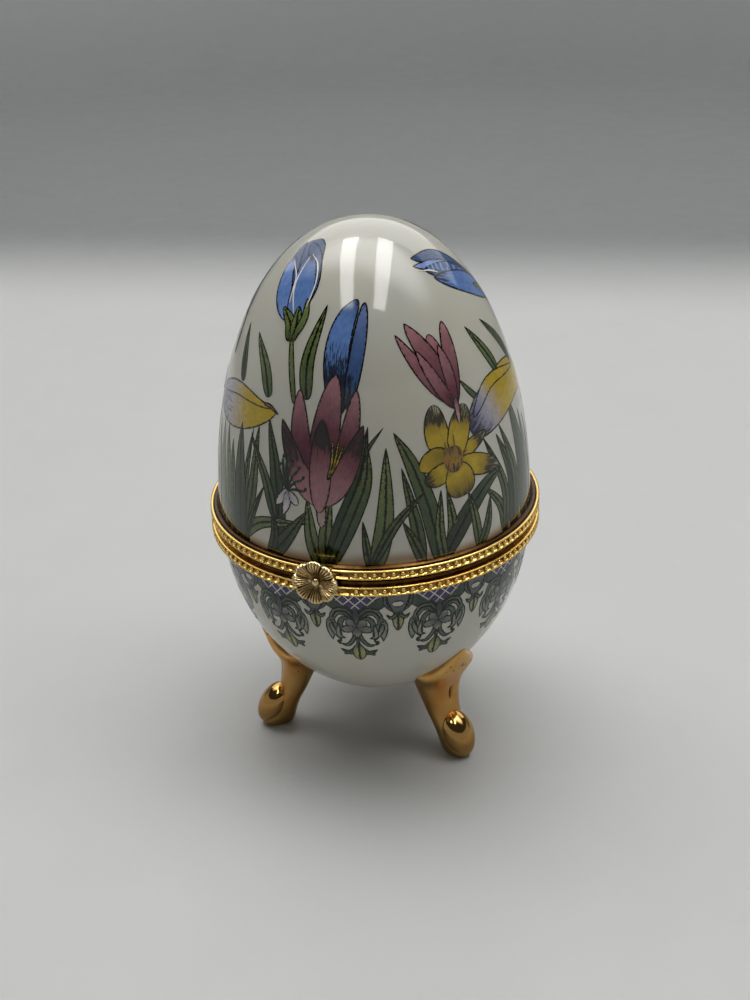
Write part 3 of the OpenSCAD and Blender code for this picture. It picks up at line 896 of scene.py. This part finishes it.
def pink_crocuses(chart, colours, turn):
    """The large crocus in front and the small one beyond it: pale tips over a crimson throat."""
    pink, crimson = tuple(colours.pink), tuple(colours.crimson)
    pale, wine = tint(pink, 1.12), tint(crimson, 0.35)
    rear = [crimson, crimson, tint(crimson, 0.8), crimson, between(crimson, pink, 0.55), pale]
    fore = [pale, pink, between(crimson, pink, 0.75), between(crimson, pink, 0.25), tint(crimson, 0.7), wine]
    dusty = [tint(crimson, 0.8), tint(crimson, 1.2)]
    dusty += [between(crimson, pink, 0.45), between(crimson, pink, 0.8), pale]
    gold = [tint(colours.yellow, 0.7), tuple(colours.yellow)]
    petals = [
        ([(0, 15), (1.5, 24), (5.2, 35.6)], 2.6, rear, 4, 0.5, 0.55, (0.5, 0.35, 0, 0)),
        ([(-1, 15), (-7, 23), (-9.7, 32.6)], 1.95, rear, 5, 0.5, 0.6, (0.3, 0.2, 0, 0)),
        ([(1.5, 15), (9.5, 23), (14, 33.2)], 1.8, rear, 5, 0.5, 0.6, (0.3, 0.2, 0, 0)),
        ([(-0.5, 13.5), (-8, 19), (-16, 27.2)], 2.0, fore, 6, 0.42, 0.7, (0, 0, 0, 0.55, 0.62, 0.3)),
        ([(1, 13.5), (9, 19), (16.2, 27.5)], 2.05, fore, 6, 0.42, 0.7, (0, 0.15, 0, 0.25, 0.65, 0.35)),
        ([(0, 12), (0.4, 20), (0.8, 28.2)], 2.0, fore, 8, 0.5, 0.6, (0, 0.1, 0, 0.3, 0.75, 0.75)),
        ([(53, 28.5), (43, 34), (31.5, 41.8)], 1.35, dusty, 4, 0.5, 0.7, (0.5, 0.2, 0, 0)),
        ([(53, 29), (45.6, 37), (36.8, 43.5)], 1.75, dusty, 5, 0.5, 0.7, (0.5, 0.2, 0, 0)),
        ([(53, 29), (50, 35), (47.6, 41)], 1.7, dusty, 4, 0.5, 0.5, (0.4, 0.2, 0, 0)),
        ([(53.5, 28.5), (55.4, 36), (56.8, 42.6)], 1.45, dusty, 5, 0.5, 0.55, (0.5, 0.25, 0, 0)),
        ([(53, 28), (52.8, 34), (51, 39)], 1.15, dusty, 6, 0.5, 0.6, (0.5, 0.25, 0, 0)),
        ([(52.8, 28), (47, 32.5), (40, 38.7)], 1.2, dusty, 6, 0.5, 0.6, (0.6, 0.3, 0, 0)),
    ]
    skins = [stroke(chart, *petal, turn=turn) for petal in petals]
    tube = between(pink, (0.5, 0.5, 0.4), 0.4)
    tubes = [
        ([(0.8, 9.5), (0.6, 13), (0, 17)], 0.95, [tube, tube, pink]),
        ([(53.4, 25.5), (53.4, 28), (53.2, 30)], 0.6, [tube, pink, crimson]),
    ]
    skins += [stroke(chart, *row, 7, 0.3, 0.3, turn=turn) for row in tubes]
    for path in ([(3, 18), (4.6, 21), (5, 24.8)], [(3.2, 18), (5.6, 21), (7.2, 25)],
                 [(3.4, 18), (6.4, 21), (9, 24.2)]):
        skins.append(stroke(chart, path, 0.34, gold, 9, 0.3, 0.3, across=3, turn=turn))
    return skins


def blue_crocuses(chart, colours, turn):
    """The blue crocus, the blue bud and the blue flower lying to the right, with their green stems."""
    blue = tuple(colours.blue)
    night, sky = tint(blue, 0.28), between(blue, (0.35, 0.42, 0.85), 0.55)
    deep, fresh = tuple(colours.leaf_deep), tuple(colours.leaf_fresh)
    body, dusk = [blue, tint(blue, 0.9), tint(blue, 0.75)], [night, tint(blue, 0.42), tint(blue, 0.3)]
    light = [sky, blue, sky]
    broad, narrow = [night, blue, blue, tint(blue, 0.3)], [night, tint(blue, 0.5), tint(sky, 0.6)]
    petals = [
        ([(-20.5, 43), (-24, 50), (-38, 55.8), (-50, 57.4)], 3.0, dusk, 3, 0.45, 0.5, (0, 0, 0.3, 0.4)),
        ([(-20, 43.5), (-17.5, 50), (-28, 55), (-45, 57.3)], 1.6, dusk, 4, 0.5, 0.6, (0, 0, 0.2, 0.3)),
        ([(-22, 43.5), (-36, 49.5), (-54, 56.8)], 1.9, dusk, 4, 0.5, 0.7, (0, 0, 0.3, 0.3)),
        ([(-23, 43.3), (-35, 47.3), (-49, 53.6)], 1.9, light, 5, 0.42, 0.55, (0, 0, 0, 0.55)),
        ([(-20.8, 43), (-22.5, 49), (-32, 55.3)], 2.45, body, 6, 0.42, 0.55, (0, 0, 0.1, 0.65)),
        ([(6.5, 29), (4.8, 38), (7.5, 44), (14, 48.2)], 2.15, broad, 2, 0.3, 0.55, (0.8, 0.62, 0.3, 0, 0.6)),
        ([(10, 30), (14, 39), (18, 47.6)], 1.3, narrow, 3, 0.35, 0.45, (0.7, 0.4, 0, 0.4)),
        ([(110, 43), (86, 52), (57, 54.3)], 1.9, dusk, 4, 0.5, 0.7, (0, 0.3, 0.45, 0)),
        ([(110, 43), (82, 50.6), (55, 52.8)], 1.45, light, 5, 0.5, 0.7, (0, 0.3, 0.3, 0.2)),
        ([(114, 41.5), (90, 48.6), (62, 51.6)], 2.0, dusk, 5, 0.5, 0.6, (0, 0, 0.35, 0.5)),
        ([(114, 41), (92, 46.2), (66, 49.8)], 2.4, body, 6, 0.5, 0.7, (0, 0, 0.35, 0.6)),
    ]
    skins = [stroke(chart, *petal, turn=turn) for petal in petals]
    gilt = [(0.75, 0.68, 0.52), (0.95, 0.92, 0.85), (0.75, 0.68, 0.52)]
    for path in ([(-21.5, 44.5), (-29.5, 49.5), (-31.5, 54.8)],
                 [(-15, 46), (-14.5, 50.5), (-20, 53.8), (-31, 55.3)],
                 [(-27, 46), (-32, 50.5), (-45, 53)], [(72, 50.3), (66, 51.2), (58, 51.6)]):
        skins.append(stroke(chart, path, 0.13, gilt, 9, 0.3, 0.3, outlined=False, across=3, turn=turn))
    green = [between(deep, fresh, 0.5), fresh, tint(fresh, 1.2)]
    stems = [
        ([(-11.5, 30), (-16, 37), (-19.5, 42)], 0.6, 3), ([(-19, 40), (-22, 43), (-30, 45.2)], 1.15, 7),
        ([(120, 33), (117, 38), (110, 42.5)], 0.6, 3), ([(114, 39.5), (108, 42.8), (99, 44.8)], 0.9, 7),
        ([(-18.5, 40), (-18, 43), (-19.5, 46)], 1.1, 7), ([(-17, 41), (-14.2, 44.5), (-15.8, 47.6)], 0.75, 8),
    ]
    skins += [stroke(chart, path, width, green, layer, 0.25, 0.5, rib=width > 1, turn=turn)
              for path, width, layer in stems]
    return skins


def yellow_flowers(chart, colours, turn):
    """The open yellow crocus with hatched tips, and the two buds that fade from lilac to yellow."""
    yellow, lilac = tuple(colours.yellow), tuple(colours.lilac)
    ochre, brown = tint(yellow, 0.6), (0.16, 0.09, 0.03)
    rust, ash = [tint(ochre, 0.6), ochre, yellow], (0.36, 0.35, 0.25)
    tipped = [tint(ochre, 0.8), yellow, yellow, tint(ochre, 0.7), ash]
    cupped = [tint(ochre, 0.7), tint(yellow, 1.05), ochre, tint(ochre, 0.35)]
    grey = between(lilac, (0.6, 0.55, 0.5), 0.4)
    bud = [lilac, grey, yellow, yellow]
    veiled = [(0.05, 0.06, 0.2), tint(lilac, 0.85), grey] + [yellow] * 5
    petals = [
        ([(47.5, 19.5), (43.5, 24), (43.2, 29.5)], 2.3, tipped, 4, 0.5, 0.5, (0.1, 0, 0, 0.62, 0.5)),
        ([(49.5, 19.5), (52.5, 24), (56.8, 28.4)], 2.25, tipped, 5, 0.5, 0.5, (0.1, 0, 0, 0.62, 0.5)),
        ([(50, 19.5), (57, 21), (65.5, 22.6)], 1.35, tipped, 4, 0.5, 0.6, (0, 0, 0.2, 0.6, 0.45)),
        ([(50, 19), (59, 17.5), (69.5, 15.8)], 2.0, tipped, 6, 0.5, 0.55, (0, 0, 0, 0.62, 0.48)),
        ([(47.5, 19.5), (42, 20.5), (35.5, 19)], 2.0, rust, 5, 0.5, 0.5, (0, 0, 0.3, 0.3)),
        ([(47.5, 19), (42.5, 17.5), (37, 16.6)], 1.8, cupped, 6, 0.5, 0.5, (0, 0, 0.1, 0.55, 0.75)),
        ([(48.5, 19), (50.5, 16), (51.5, 12.8)], 3.0, cupped, 8, 0.5, 0.35, (0.35, 0, 0, 0.4, 0.6)),
        ([(-64, 25.2), (-43, 25.6), (-19.5, 27.8)], 3.55, bud, 4, 0.5, 0.65, (0.5, 0.4, 0, 0)),
        ([(-64, 26.5), (-45, 29), (-22, 28.2)], 1.3, bud, 5, 0.5, 0.7, (0.1, 0, 0, 0.3)),
        ([(58, 23), (72, 26.3), (92, 27.8), (112, 25)], 4.2, veiled, 4, 0.42, 0.6, (0.62, 0.42, 0, 0, 0, 0)),
        ([(60, 25.5), (74, 30), (100, 29)], 1.2, veiled, 5, 0.5, 0.7, (0.5, 0.1, 0, 0.1)),
    ]
    skins = [stroke(chart, *petal, turn=turn) for petal in petals]
    tuft = [brown, (0.32, 0.15, 0.03), brown]
    skins.append(stroke(chart, [(48.7, 17.4), (48.7, 19.6), (48.4, 22)], 1.9, tuft, 9, 0.45, 0.35,
                        stain=(0.5, 0.42, 0.5), outlined=False, turn=turn))
    for path in ([(48.5, 19), (46.5, 21), (45.8, 23)], [(48.7, 19), (49.6, 21.5), (49.8, 24)],
                 [(49, 18.6), (52, 19.8), (55, 20.6)]):
        skins.append(stroke(chart, path, 0.2, [ochre, brown], 10, 0.2, 0.3, outlined=False, across=3,
                            turn=turn))
    neck = [(-26, 28.7), (-22.5, 28.6), (-18, 27.6)]
    skins.append(stroke(chart, neck, 0.4, [brown, brown], 6, 0.4, 0.6, turn=turn))
    return skins


def dark_sprig(chart, colours, turn):
    """The small pale flower low on the left, with its spray of dark stamens."""
    ink = [tuple(colours.ink), tint(colours.leaf_deep, 0.9)]
    pale = [between(colours.lilac, (0.7, 0.66, 0.64), 0.3), (0.62, 0.56, 0.56)]
    skins = [stroke(chart, path, 0.85, pale, 4, 0.5, 0.6, stain=(0.45, 0.1, 0.3), turn=turn)
             for path in ([(-12, 15.5), (-14.5, 13.6), (-17, 12)], [(-12, 15), (-12.5, 12.8), (-14, 10.5)],
                          [(-11.5, 15), (-9.5, 13.6), (-8, 12.8)])]
    for x, y in ((-16, 19), (-14.5, 20.6), (-12.5, 21), (-10.6, 20), (-8, 19), (-6.4, 17.4), (-5.6, 15.4),
                 (-15.5, 17)):
        stamen = [(-12, 15), ((x - 12) / 2 - 0.6, (y + 15) / 2 + 0.3), (x, y)]
        head = [(x, y), (x + 0.6, y + 0.5), (x + 1.1, y + 0.4)]
        skins += [stroke(chart, *row, outlined=False, across=3, turn=turn, rows=rows) for row, rows in (
            ((stamen, 0.28, ink, 6, 0.6, 0.2), 10), ((head, 0.3, ink, 7, 0.5, 0.5), 8))]
    return skins


def meadow_flowers(chart, colours):
    """All the flowers, twice round the lid."""
    return together([skin for turn in (0, 180) for make in (
        pink_crocuses, blue_crocuses, yellow_flowers, dark_sprig) for skin in make(chart, colours, turn)])


def border_line(chart, path, width, tones, layer, turn, side=1, rows=11, across=5, **shape):
    """One short stroke of the border, with few faces because the border repeats it."""
    return stroke(chart, path, width, tones, layer, rows=rows, across=across, turn=turn, side=side, **shape)


def border_lattice(chart, turn):
    """A navy wedge crossed by two families of pale slanting lines, each cut where it leaves the wedge."""
    navy, thread = (0.035, 0.035, 0.11), (0.62, 0.55, 0.52)
    skins = [border_line(chart, [(0, 2.2), (0, 4.5), (0, 6.7)], 5.2, [navy, navy, (0.05, 0.05, 0.1)], 0, turn,
                         swell=0, taper=0.95, outlined=False, across=11)]
    for start in (-12.6, -8.4, -4.2, 0.0, 4.2, 8.4):
        end = min((26.6 - start) / 5, start + 13.8)
        if end > 3.4:
            path = [(start + 2 * (l - 3.2), l) for l in (2.4, (2.4 + end) / 2, end)]
            skins += [border_line(chart, path, 0.11, [thread, thread], 4, turn, side, swell=0.05, taper=0.05,
                                  outlined=False, rows=7, across=2) for side in (-1, 1)]
    return skins


def border_scrolls(chart, colours, turn):
    """The large motif: leaf scrolls on both sides of a hub and a flower, and a pendant leaf below."""
    leaf = tuple(colours.border)
    dark, pale = tint(leaf, 0.4), between(leaf, (0.4, 0.42, 0.36), 0.45)
    plum, lime = (0.125, 0.13, 0.115), between(leaf, (0.42, 0.44, 0.12), 0.6)
    skins = [border_line(chart, path, width, tones, layer, turn, swell=swell, taper=taper, rib=rib)
             for path, width, tones, layer, swell, taper, rib in (
        ([(0, 6.4), (0, 8), (0, 9.8)], 0.7, [dark, dark, leaf], 6, 0.2, 0.4, False),
        ([(0, 12.6), (0, 14.2), (0, 16)], 0.42, [pale, leaf, lime], 3, 0.4, 0.05, False),
        ([(0, 14.4), (0, 16.8), (0, 19.4)], 1.3, [leaf, lime, lime], 4, 0.7, 0.6, True),
    )]
    plums = [tint(plum, 0.6), plum, tint(plum, 1.6)]
    for lobe in range(5):
        a = math.radians(90 + 72 * lobe)
        path = [(5.6 * share * math.cos(a), 10.4 + 2.1 * share * math.sin(a)) for share in (0, 0.5, 1)]
        skins.append(border_line(chart, path, 0.95, plums, 5, turn, swell=0.7, taper=0.4))
    for side in (-1, 1):
        skins += [border_line(chart, path, width, tones, layer, turn, side, swell=swell, taper=taper, rib=rib)
                  for path, width, tones, layer, swell, taper, rib in (
            ([(13.5, 3.0), (7.6, 5.3), (0.4, 7.4)], 1.15, [leaf, dark, dark], -1, 0.25, 0.3, False),
            ([(1, 8.6), (3.5, 6.8), (7.2, 7.0), (9.4, 9.4)], 0.9, [dark, leaf, pale], 3, 0.3, 0.4, True),
            ([(8.8, 8.2), (9.6, 11), (9.6, 14)], 0.96, [leaf, pale, pale], 3, 0.4, 0.8, False),
            ([(9, 9.4), (7.6, 11.6), (6.2, 13.8)], 1.02, [leaf, pale, pale], 4, 0.4, 0.8, True),
            ([(1.6, 9), (4.2, 8.2), (6, 9.6), (4.6, 11.8)], 0.6, [dark, leaf, leaf], 4, 0.4, 0.5, False),
            ([(6.4, 9.6), (7.0, 12.5), (4.4, 13.2)], 0.48, [pale, pale, leaf], 5, 0.4, 0.6, False),
            ([(1, 11.6), (1.6, 13.4), (4, 15), (6.4, 14.8)], 0.48, [leaf, leaf, dark], 3, 0.4, 0.4, False),
            ([(6.6, 15.0), (7.4, 14.2), (6.0, 13.8)], 0.36, [dark, dark], 4, 0.4, 0.5, False),
            ([(0.4, 15.6), (3.6, 17.2), (7.4, 16.2)], 0.72, [leaf, leaf, dark], 3, 0.4, 0.7, False),
            ([(3.5, 16.6), (5.4, 17.6), (6.2, 17.4)], 0.42, [leaf, dark], 4, 0.4, 0.6, False),
        )]
    return skins


def border_drop(chart, colours, turn):
    """The small motif between two large ones: an arch with a pale eye, two collar leaves and a drop."""
    leaf = tuple(colours.border)
    grey, lime = between(leaf, (0.16, 0.13, 0.18), 0.5), between(leaf, (0.40, 0.40, 0.16), 0.6)
    skins = [border_line(chart, path, width, tones, layer, turn, swell=swell, taper=taper, rib=rib)
             for path, width, tones, layer, swell, taper, rib in (
        ([(0, 2.2), (0, 4.6), (0, 7.8)], 2.3, [grey, grey, leaf], 1, 0.05, 0.5, False),
        ([(-2.2, 5.2), (0, 5.25), (2.2, 5.2)], 0.75, [(0.5, 0.49, 0.45)] * 2, 3, 0.5, 0.5, False),
        ([(0, 6.9), (0, 9), (0, 11.4)], 1.1, [leaf, lime, lime], 4, 0.35, 0.6, True),
    )]
    return skins + [border_line(chart, *row, turn, side) for side in (-1, 1) for row in (
        ([(0.3, 7.3), (2.4, 8.3), (4.2, 7.4)], 0.45, [leaf, leaf], 5),
        ([(4.8, 3), (4.2, 5.4), (1.2, 7.2)], 0.42, [leaf, grey], 2),
    )]


def border_band(chart, colours):
    """The border under the rim: twelve large motifs with a small one between each two."""
    skins = []
    for turn in range(11, 371, 30):
        skins += border_lattice(chart, turn) + border_scrolls(chart, colours, turn)
        skins += border_drop(chart, colours, turn - 15)
    return together(skins)


# ---------------------------------------------------------------- operators

class EGGBOX_OT_porcelain(bpy.types.Operator):
    """Makes the porcelain bowl and lid"""
    bl_idname = "eggbox.porcelain"
    bl_label = "Porcelain"

    def execute(self, context):
        sizes = context.scene.egg_sizes
        glaze = glazed_porcelain(sizes)
        add_piece("bowl", porcelain_cup(sizes, -1), glaze, "base", ["base_bowl"])
        add_piece("lid", porcelain_cup(sizes, 1), glaze, "lid", ["lid_shell"])
        return {"FINISHED"}


class EGGBOX_OT_rims(bpy.types.Operator):
    """Makes the two brass rims and their rows of beads"""
    bl_idname = "eggbox.rims"
    bl_label = "Rims"

    def execute(self, context):
        rim = context.scene.rim_sizes
        brass = rim_brass(rim)
        for body, upward in (("base", -1), ("lid", 1)):
            band, beads = rim_band(rim, upward), bead_row(rim, upward)
            add_piece(f"{body}_rim", band, brass, body, [f"{body}_bezel"], math.radians(70))
            add_piece(f"{body}_rim_beads", beads, brass, body, (), math.radians(80))
        return {"FINISHED"}


class EGGBOX_OT_fittings(bpy.types.Operator):
    """Gives the hinge, the pin, the stud, the saddle and the tongue their brass"""
    bl_idname = "eggbox.fittings"
    bl_label = "Fittings"

    def execute(self, context):
        brass = fitting_brass(context.scene.rim_sizes)
        for name in ("catch_stud", "hinge_base_leaf", "hinge_pin", "hinge_lid_leaf", "clasp_saddle",
                     "clasp_tongue"):
            fitting = frame["nodes"][name]
            if not fitting.material_slots:
                fitting.data.materials.append(brass)
            for place in fitting.material_slots:
                place.material = brass
        return {"FINISHED"}


class EGGBOX_OT_flower(bpy.types.Operator):
    """Makes the clasp's flower and its rivet"""
    bl_idname = "eggbox.flower"
    bl_label = "Flower"

    def execute(self, context):
        flower = context.scene.flower_sizes
        gold = cast_gold(flower)
        petals = flower_skin(flower)
        add_piece("flower", petals, gold, "clasp", ["clasp_rosette"], math.radians(75))
        add_piece("rivet", rivet_skin(), gold, "clasp", ["clasp_rivet"])
        return {"FINISHED"}


class EGGBOX_OT_feet(bpy.types.Operator):
    """Makes the three gilded feet"""
    bl_idname = "eggbox.feet"
    bl_label = "Feet"

    def execute(self, context):
        foot, sizes = context.scene.foot_sizes, context.scene.egg_sizes
        lustre = gold_lustre(foot)
        for name, angle in (("left", -foot.spread), ("right", foot.spread), ("rear", math.pi)):
            skin = foot_skin(foot, sizes, angle)
            add_piece(f"{name}_foot", skin, lustre, "base", [f"foot_{name}"])
        return {"FINISHED"}


class EGGBOX_OT_painting(bpy.types.Operator):
    """Paints the meadow on the lid and the border on the bowl"""
    bl_idname = "eggbox.painting"
    bl_label = "Painting"

    def execute(self, context):
        colours, sizes = context.scene.paint_colours, context.scene.egg_sizes
        enamel = enamel_paint(colours)
        above, below = glaze_chart(sizes, 1), glaze_chart(sizes, -1)
        add_piece("lid_leaves", meadow_leaves(above, colours), enamel, "lid")
        add_piece("lid_flowers", meadow_flowers(above, colours), enamel, "lid")
        add_piece("bowl_border", border_band(below, colours), enamel, "base")
        return {"FINISHED"}


class EGGBOX_OT_stage(bpy.types.Operator):
    """Makes the table, the lights and the camera"""
    bl_idname = "eggbox.stage"
    bl_label = "Stage"

    def execute(self, context):
        stage = context.scene.stage_settings
        add_stage_mesh("table", table_skin(), table_top(stage))
        add_stage_mesh("ceiling", ceiling_skin(), ceiling_light(stage)).visible_camera = False
        for name, start, end in STRIPS:
            across = Vector(end) - Vector(start)
            centre = (Vector(start) + Vector(end)) / 2
            strip = add_light(name, (*centre, STRIP_HEIGHT), (across.length, STRIP_WIDTH), stage.strip_power,
                              (0, 0, math.atan2(across.y, across.x)))
            strip.visible_diffuse = False
        glow = add_light("glow", GLOW_PLACE, GLOW_SIZE, stage.glow_power, GLOW_TURN)
        glow.visible_diffuse = glow.visible_camera = False
        world = bpy.data.worlds.new("room")
        world.use_nodes = True
        world.node_tree.nodes["Background"].inputs["Color"].default_value = (0.05, 0.05, 0.05, 1)
        context.scene.world = world
        context.scene.view_settings.view_transform = "Standard"
        aim_camera()
        return {"FINISHED"}


# Lights, in metres: the ends of each strip seen from above, and the place, size and turn of the glow
STRIPS = (
    ("strip_left", (-0.235, 0.33), (-0.075, -0.49)),
    ("strip_right", (0.05, 0.40), (0.29, -0.41)),
)
STRIP_HEIGHT, STRIP_WIDTH = 0.70, 0.14
GLOW_PLACE, GLOW_SIZE = (-0.13, 0.56, 0.50), (1.6, 0.55)
GLOW_TURN = (math.radians(-46), 0, math.radians(13.8))
STAGE_ANGLES = np.linspace(0, 2 * math.pi, 128, endpoint=False)


def table_skin():
    """The table: a flat disc whose rim curves up into a wall by a quarter circle, 10 mm thick."""
    flat, corner, wall = 0.6, 0.2, 0.34
    bend = np.linspace(0, math.pi / 2, 12)[1:]
    reach = np.concatenate([[0, 0.1, 0.3, flat], flat + corner * np.sin(bend), [flat + corner]])[:, None]
    rise = np.concatenate([[0, 0, 0, 0], corner - corner * np.cos(bend), [wall]])[:, None]
    rings = round_the_egg(reach, rise, STAGE_ANGLES)
    below = rings * (1.02, 1.02, 1) + (0, 0, -0.01)
    return loft(np.concatenate([below, rings[::-1]]))


def ceiling_skin():
    """The ceiling light's panel: a thin disc stretched to an ellipse."""
    reach = np.array([0, 1, 1, 0])[:, None]
    level = CEILING_HEIGHT + np.array([0, 0, 0.002, 0.002])[:, None]
    return loft(round_the_egg(reach, level, STAGE_ANGLES) * (*CEILING_REACH, 1) + (0, CEILING_BACK, 0))


def add_stage_mesh(name, skin, material):
    """Puts a skin of the stage into a mesh object at the origin."""
    mesh = bpy.data.meshes.new(name)
    mesh.from_pydata(skin["points"].tolist(), [], skin["triangles"].tolist())
    piece = smooth_object(name, mesh, material, math.radians(40))
    return piece


def add_light(name, place, size, power, turn):
    """A rectangular light."""
    light = bpy.data.lights.new(name, "AREA")
    light.shape = "RECTANGLE"
    light.size, light.size_y = size
    light.energy = power
    lamp = into_scene(name, light)
    lamp.location, lamp.rotation_euler = place, turn
    return lamp


def aim_camera():
    """A camera looking down on the box from the front right: aimed at the origin, then tilted up so that
    the box is in the middle of the view, and rolled a little."""
    azimuth, elevation = math.radians(19.4), math.radians(34.94)
    pitch, roll = math.radians(7.78), math.radians(-2.21)
    distance = 0.3035
    level = math.cos(elevation)
    direction = Vector((math.sin(azimuth) * level, -math.cos(azimuth) * level, math.sin(elevation)))
    right = (-direction).cross(Vector((0, 0, 1))).normalized()
    level = right.cross(-direction)
    ahead = -direction * math.cos(pitch) + level * math.sin(pitch)
    up = level * math.cos(pitch) + direction * math.sin(pitch)
    across = right * math.cos(roll) + up * math.sin(roll)
    top = up * math.cos(roll) - right * math.sin(roll)
    camera = bpy.data.cameras.new("camera")
    camera.lens = 54
    camera.sensor_width = 36
    camera.clip_start = 0.01
    holder = into_scene("camera", camera)
    turned = Matrix((across, top, -ahead)).transposed().to_4x4()
    holder.matrix_world = Matrix.Translation(direction * distance) @ turned
    bpy.context.scene.camera = holder


OPERATORS = (
    EGGBOX_OT_porcelain, EGGBOX_OT_rims, EGGBOX_OT_fittings, EGGBOX_OT_flower, EGGBOX_OT_feet,
    EGGBOX_OT_painting, EGGBOX_OT_stage,
)
GROUPS = {
    "egg_sizes": EggSizes, "rim_sizes": RimSizes, "flower_sizes": FlowerSizes, "foot_sizes": FootSizes,
    "paint_colours": PaintColours, "stage_settings": StageSettings,
}


class EGGBOX_PT_panel(bpy.types.Panel):
    """Lists the egg box's pieces"""
    bl_idname = "EGGBOX_PT_panel"
    bl_label = "Egg Box"
    bl_space_type = "VIEW_3D"
    bl_region_type = "UI"
    bl_category = "Egg Box"

    def draw(self, context):
        for operator in OPERATORS:
            self.layout.operator(operator.bl_idname)
        for name, group in GROUPS.items():
            box = self.layout.box()
            box.label(text=group.__doc__)
            for prop in group.__annotations__:
                box.prop(getattr(context.scene, name), prop)


def register():
    """Registers the classes and hangs each group of settings on the scene."""
    for made in (*GROUPS.values(), *OPERATORS, EGGBOX_PT_panel):
        bpy.utils.register_class(made)
    for name, group in GROUPS.items():
        setattr(bpy.types.Scene, name, PointerProperty(type=group))


def unregister():
    """Takes the settings and the classes away again."""
    for name in GROUPS:
        delattr(bpy.types.Scene, name)
    for made in (EGGBOX_PT_panel, *reversed(OPERATORS), *reversed(GROUPS.values())):
        bpy.utils.unregister_class(made)


def main():
    """Registers the add-on, and makes every piece and the stage."""
    register()
    bpy.ops.eggbox.porcelain()
    bpy.ops.eggbox.rims()
    bpy.ops.eggbox.fittings()
    bpy.ops.eggbox.flower()
    bpy.ops.eggbox.feet()
    bpy.ops.eggbox.painting()
    bpy.ops.eggbox.stage()


if __name__ == "__main__":
    main()
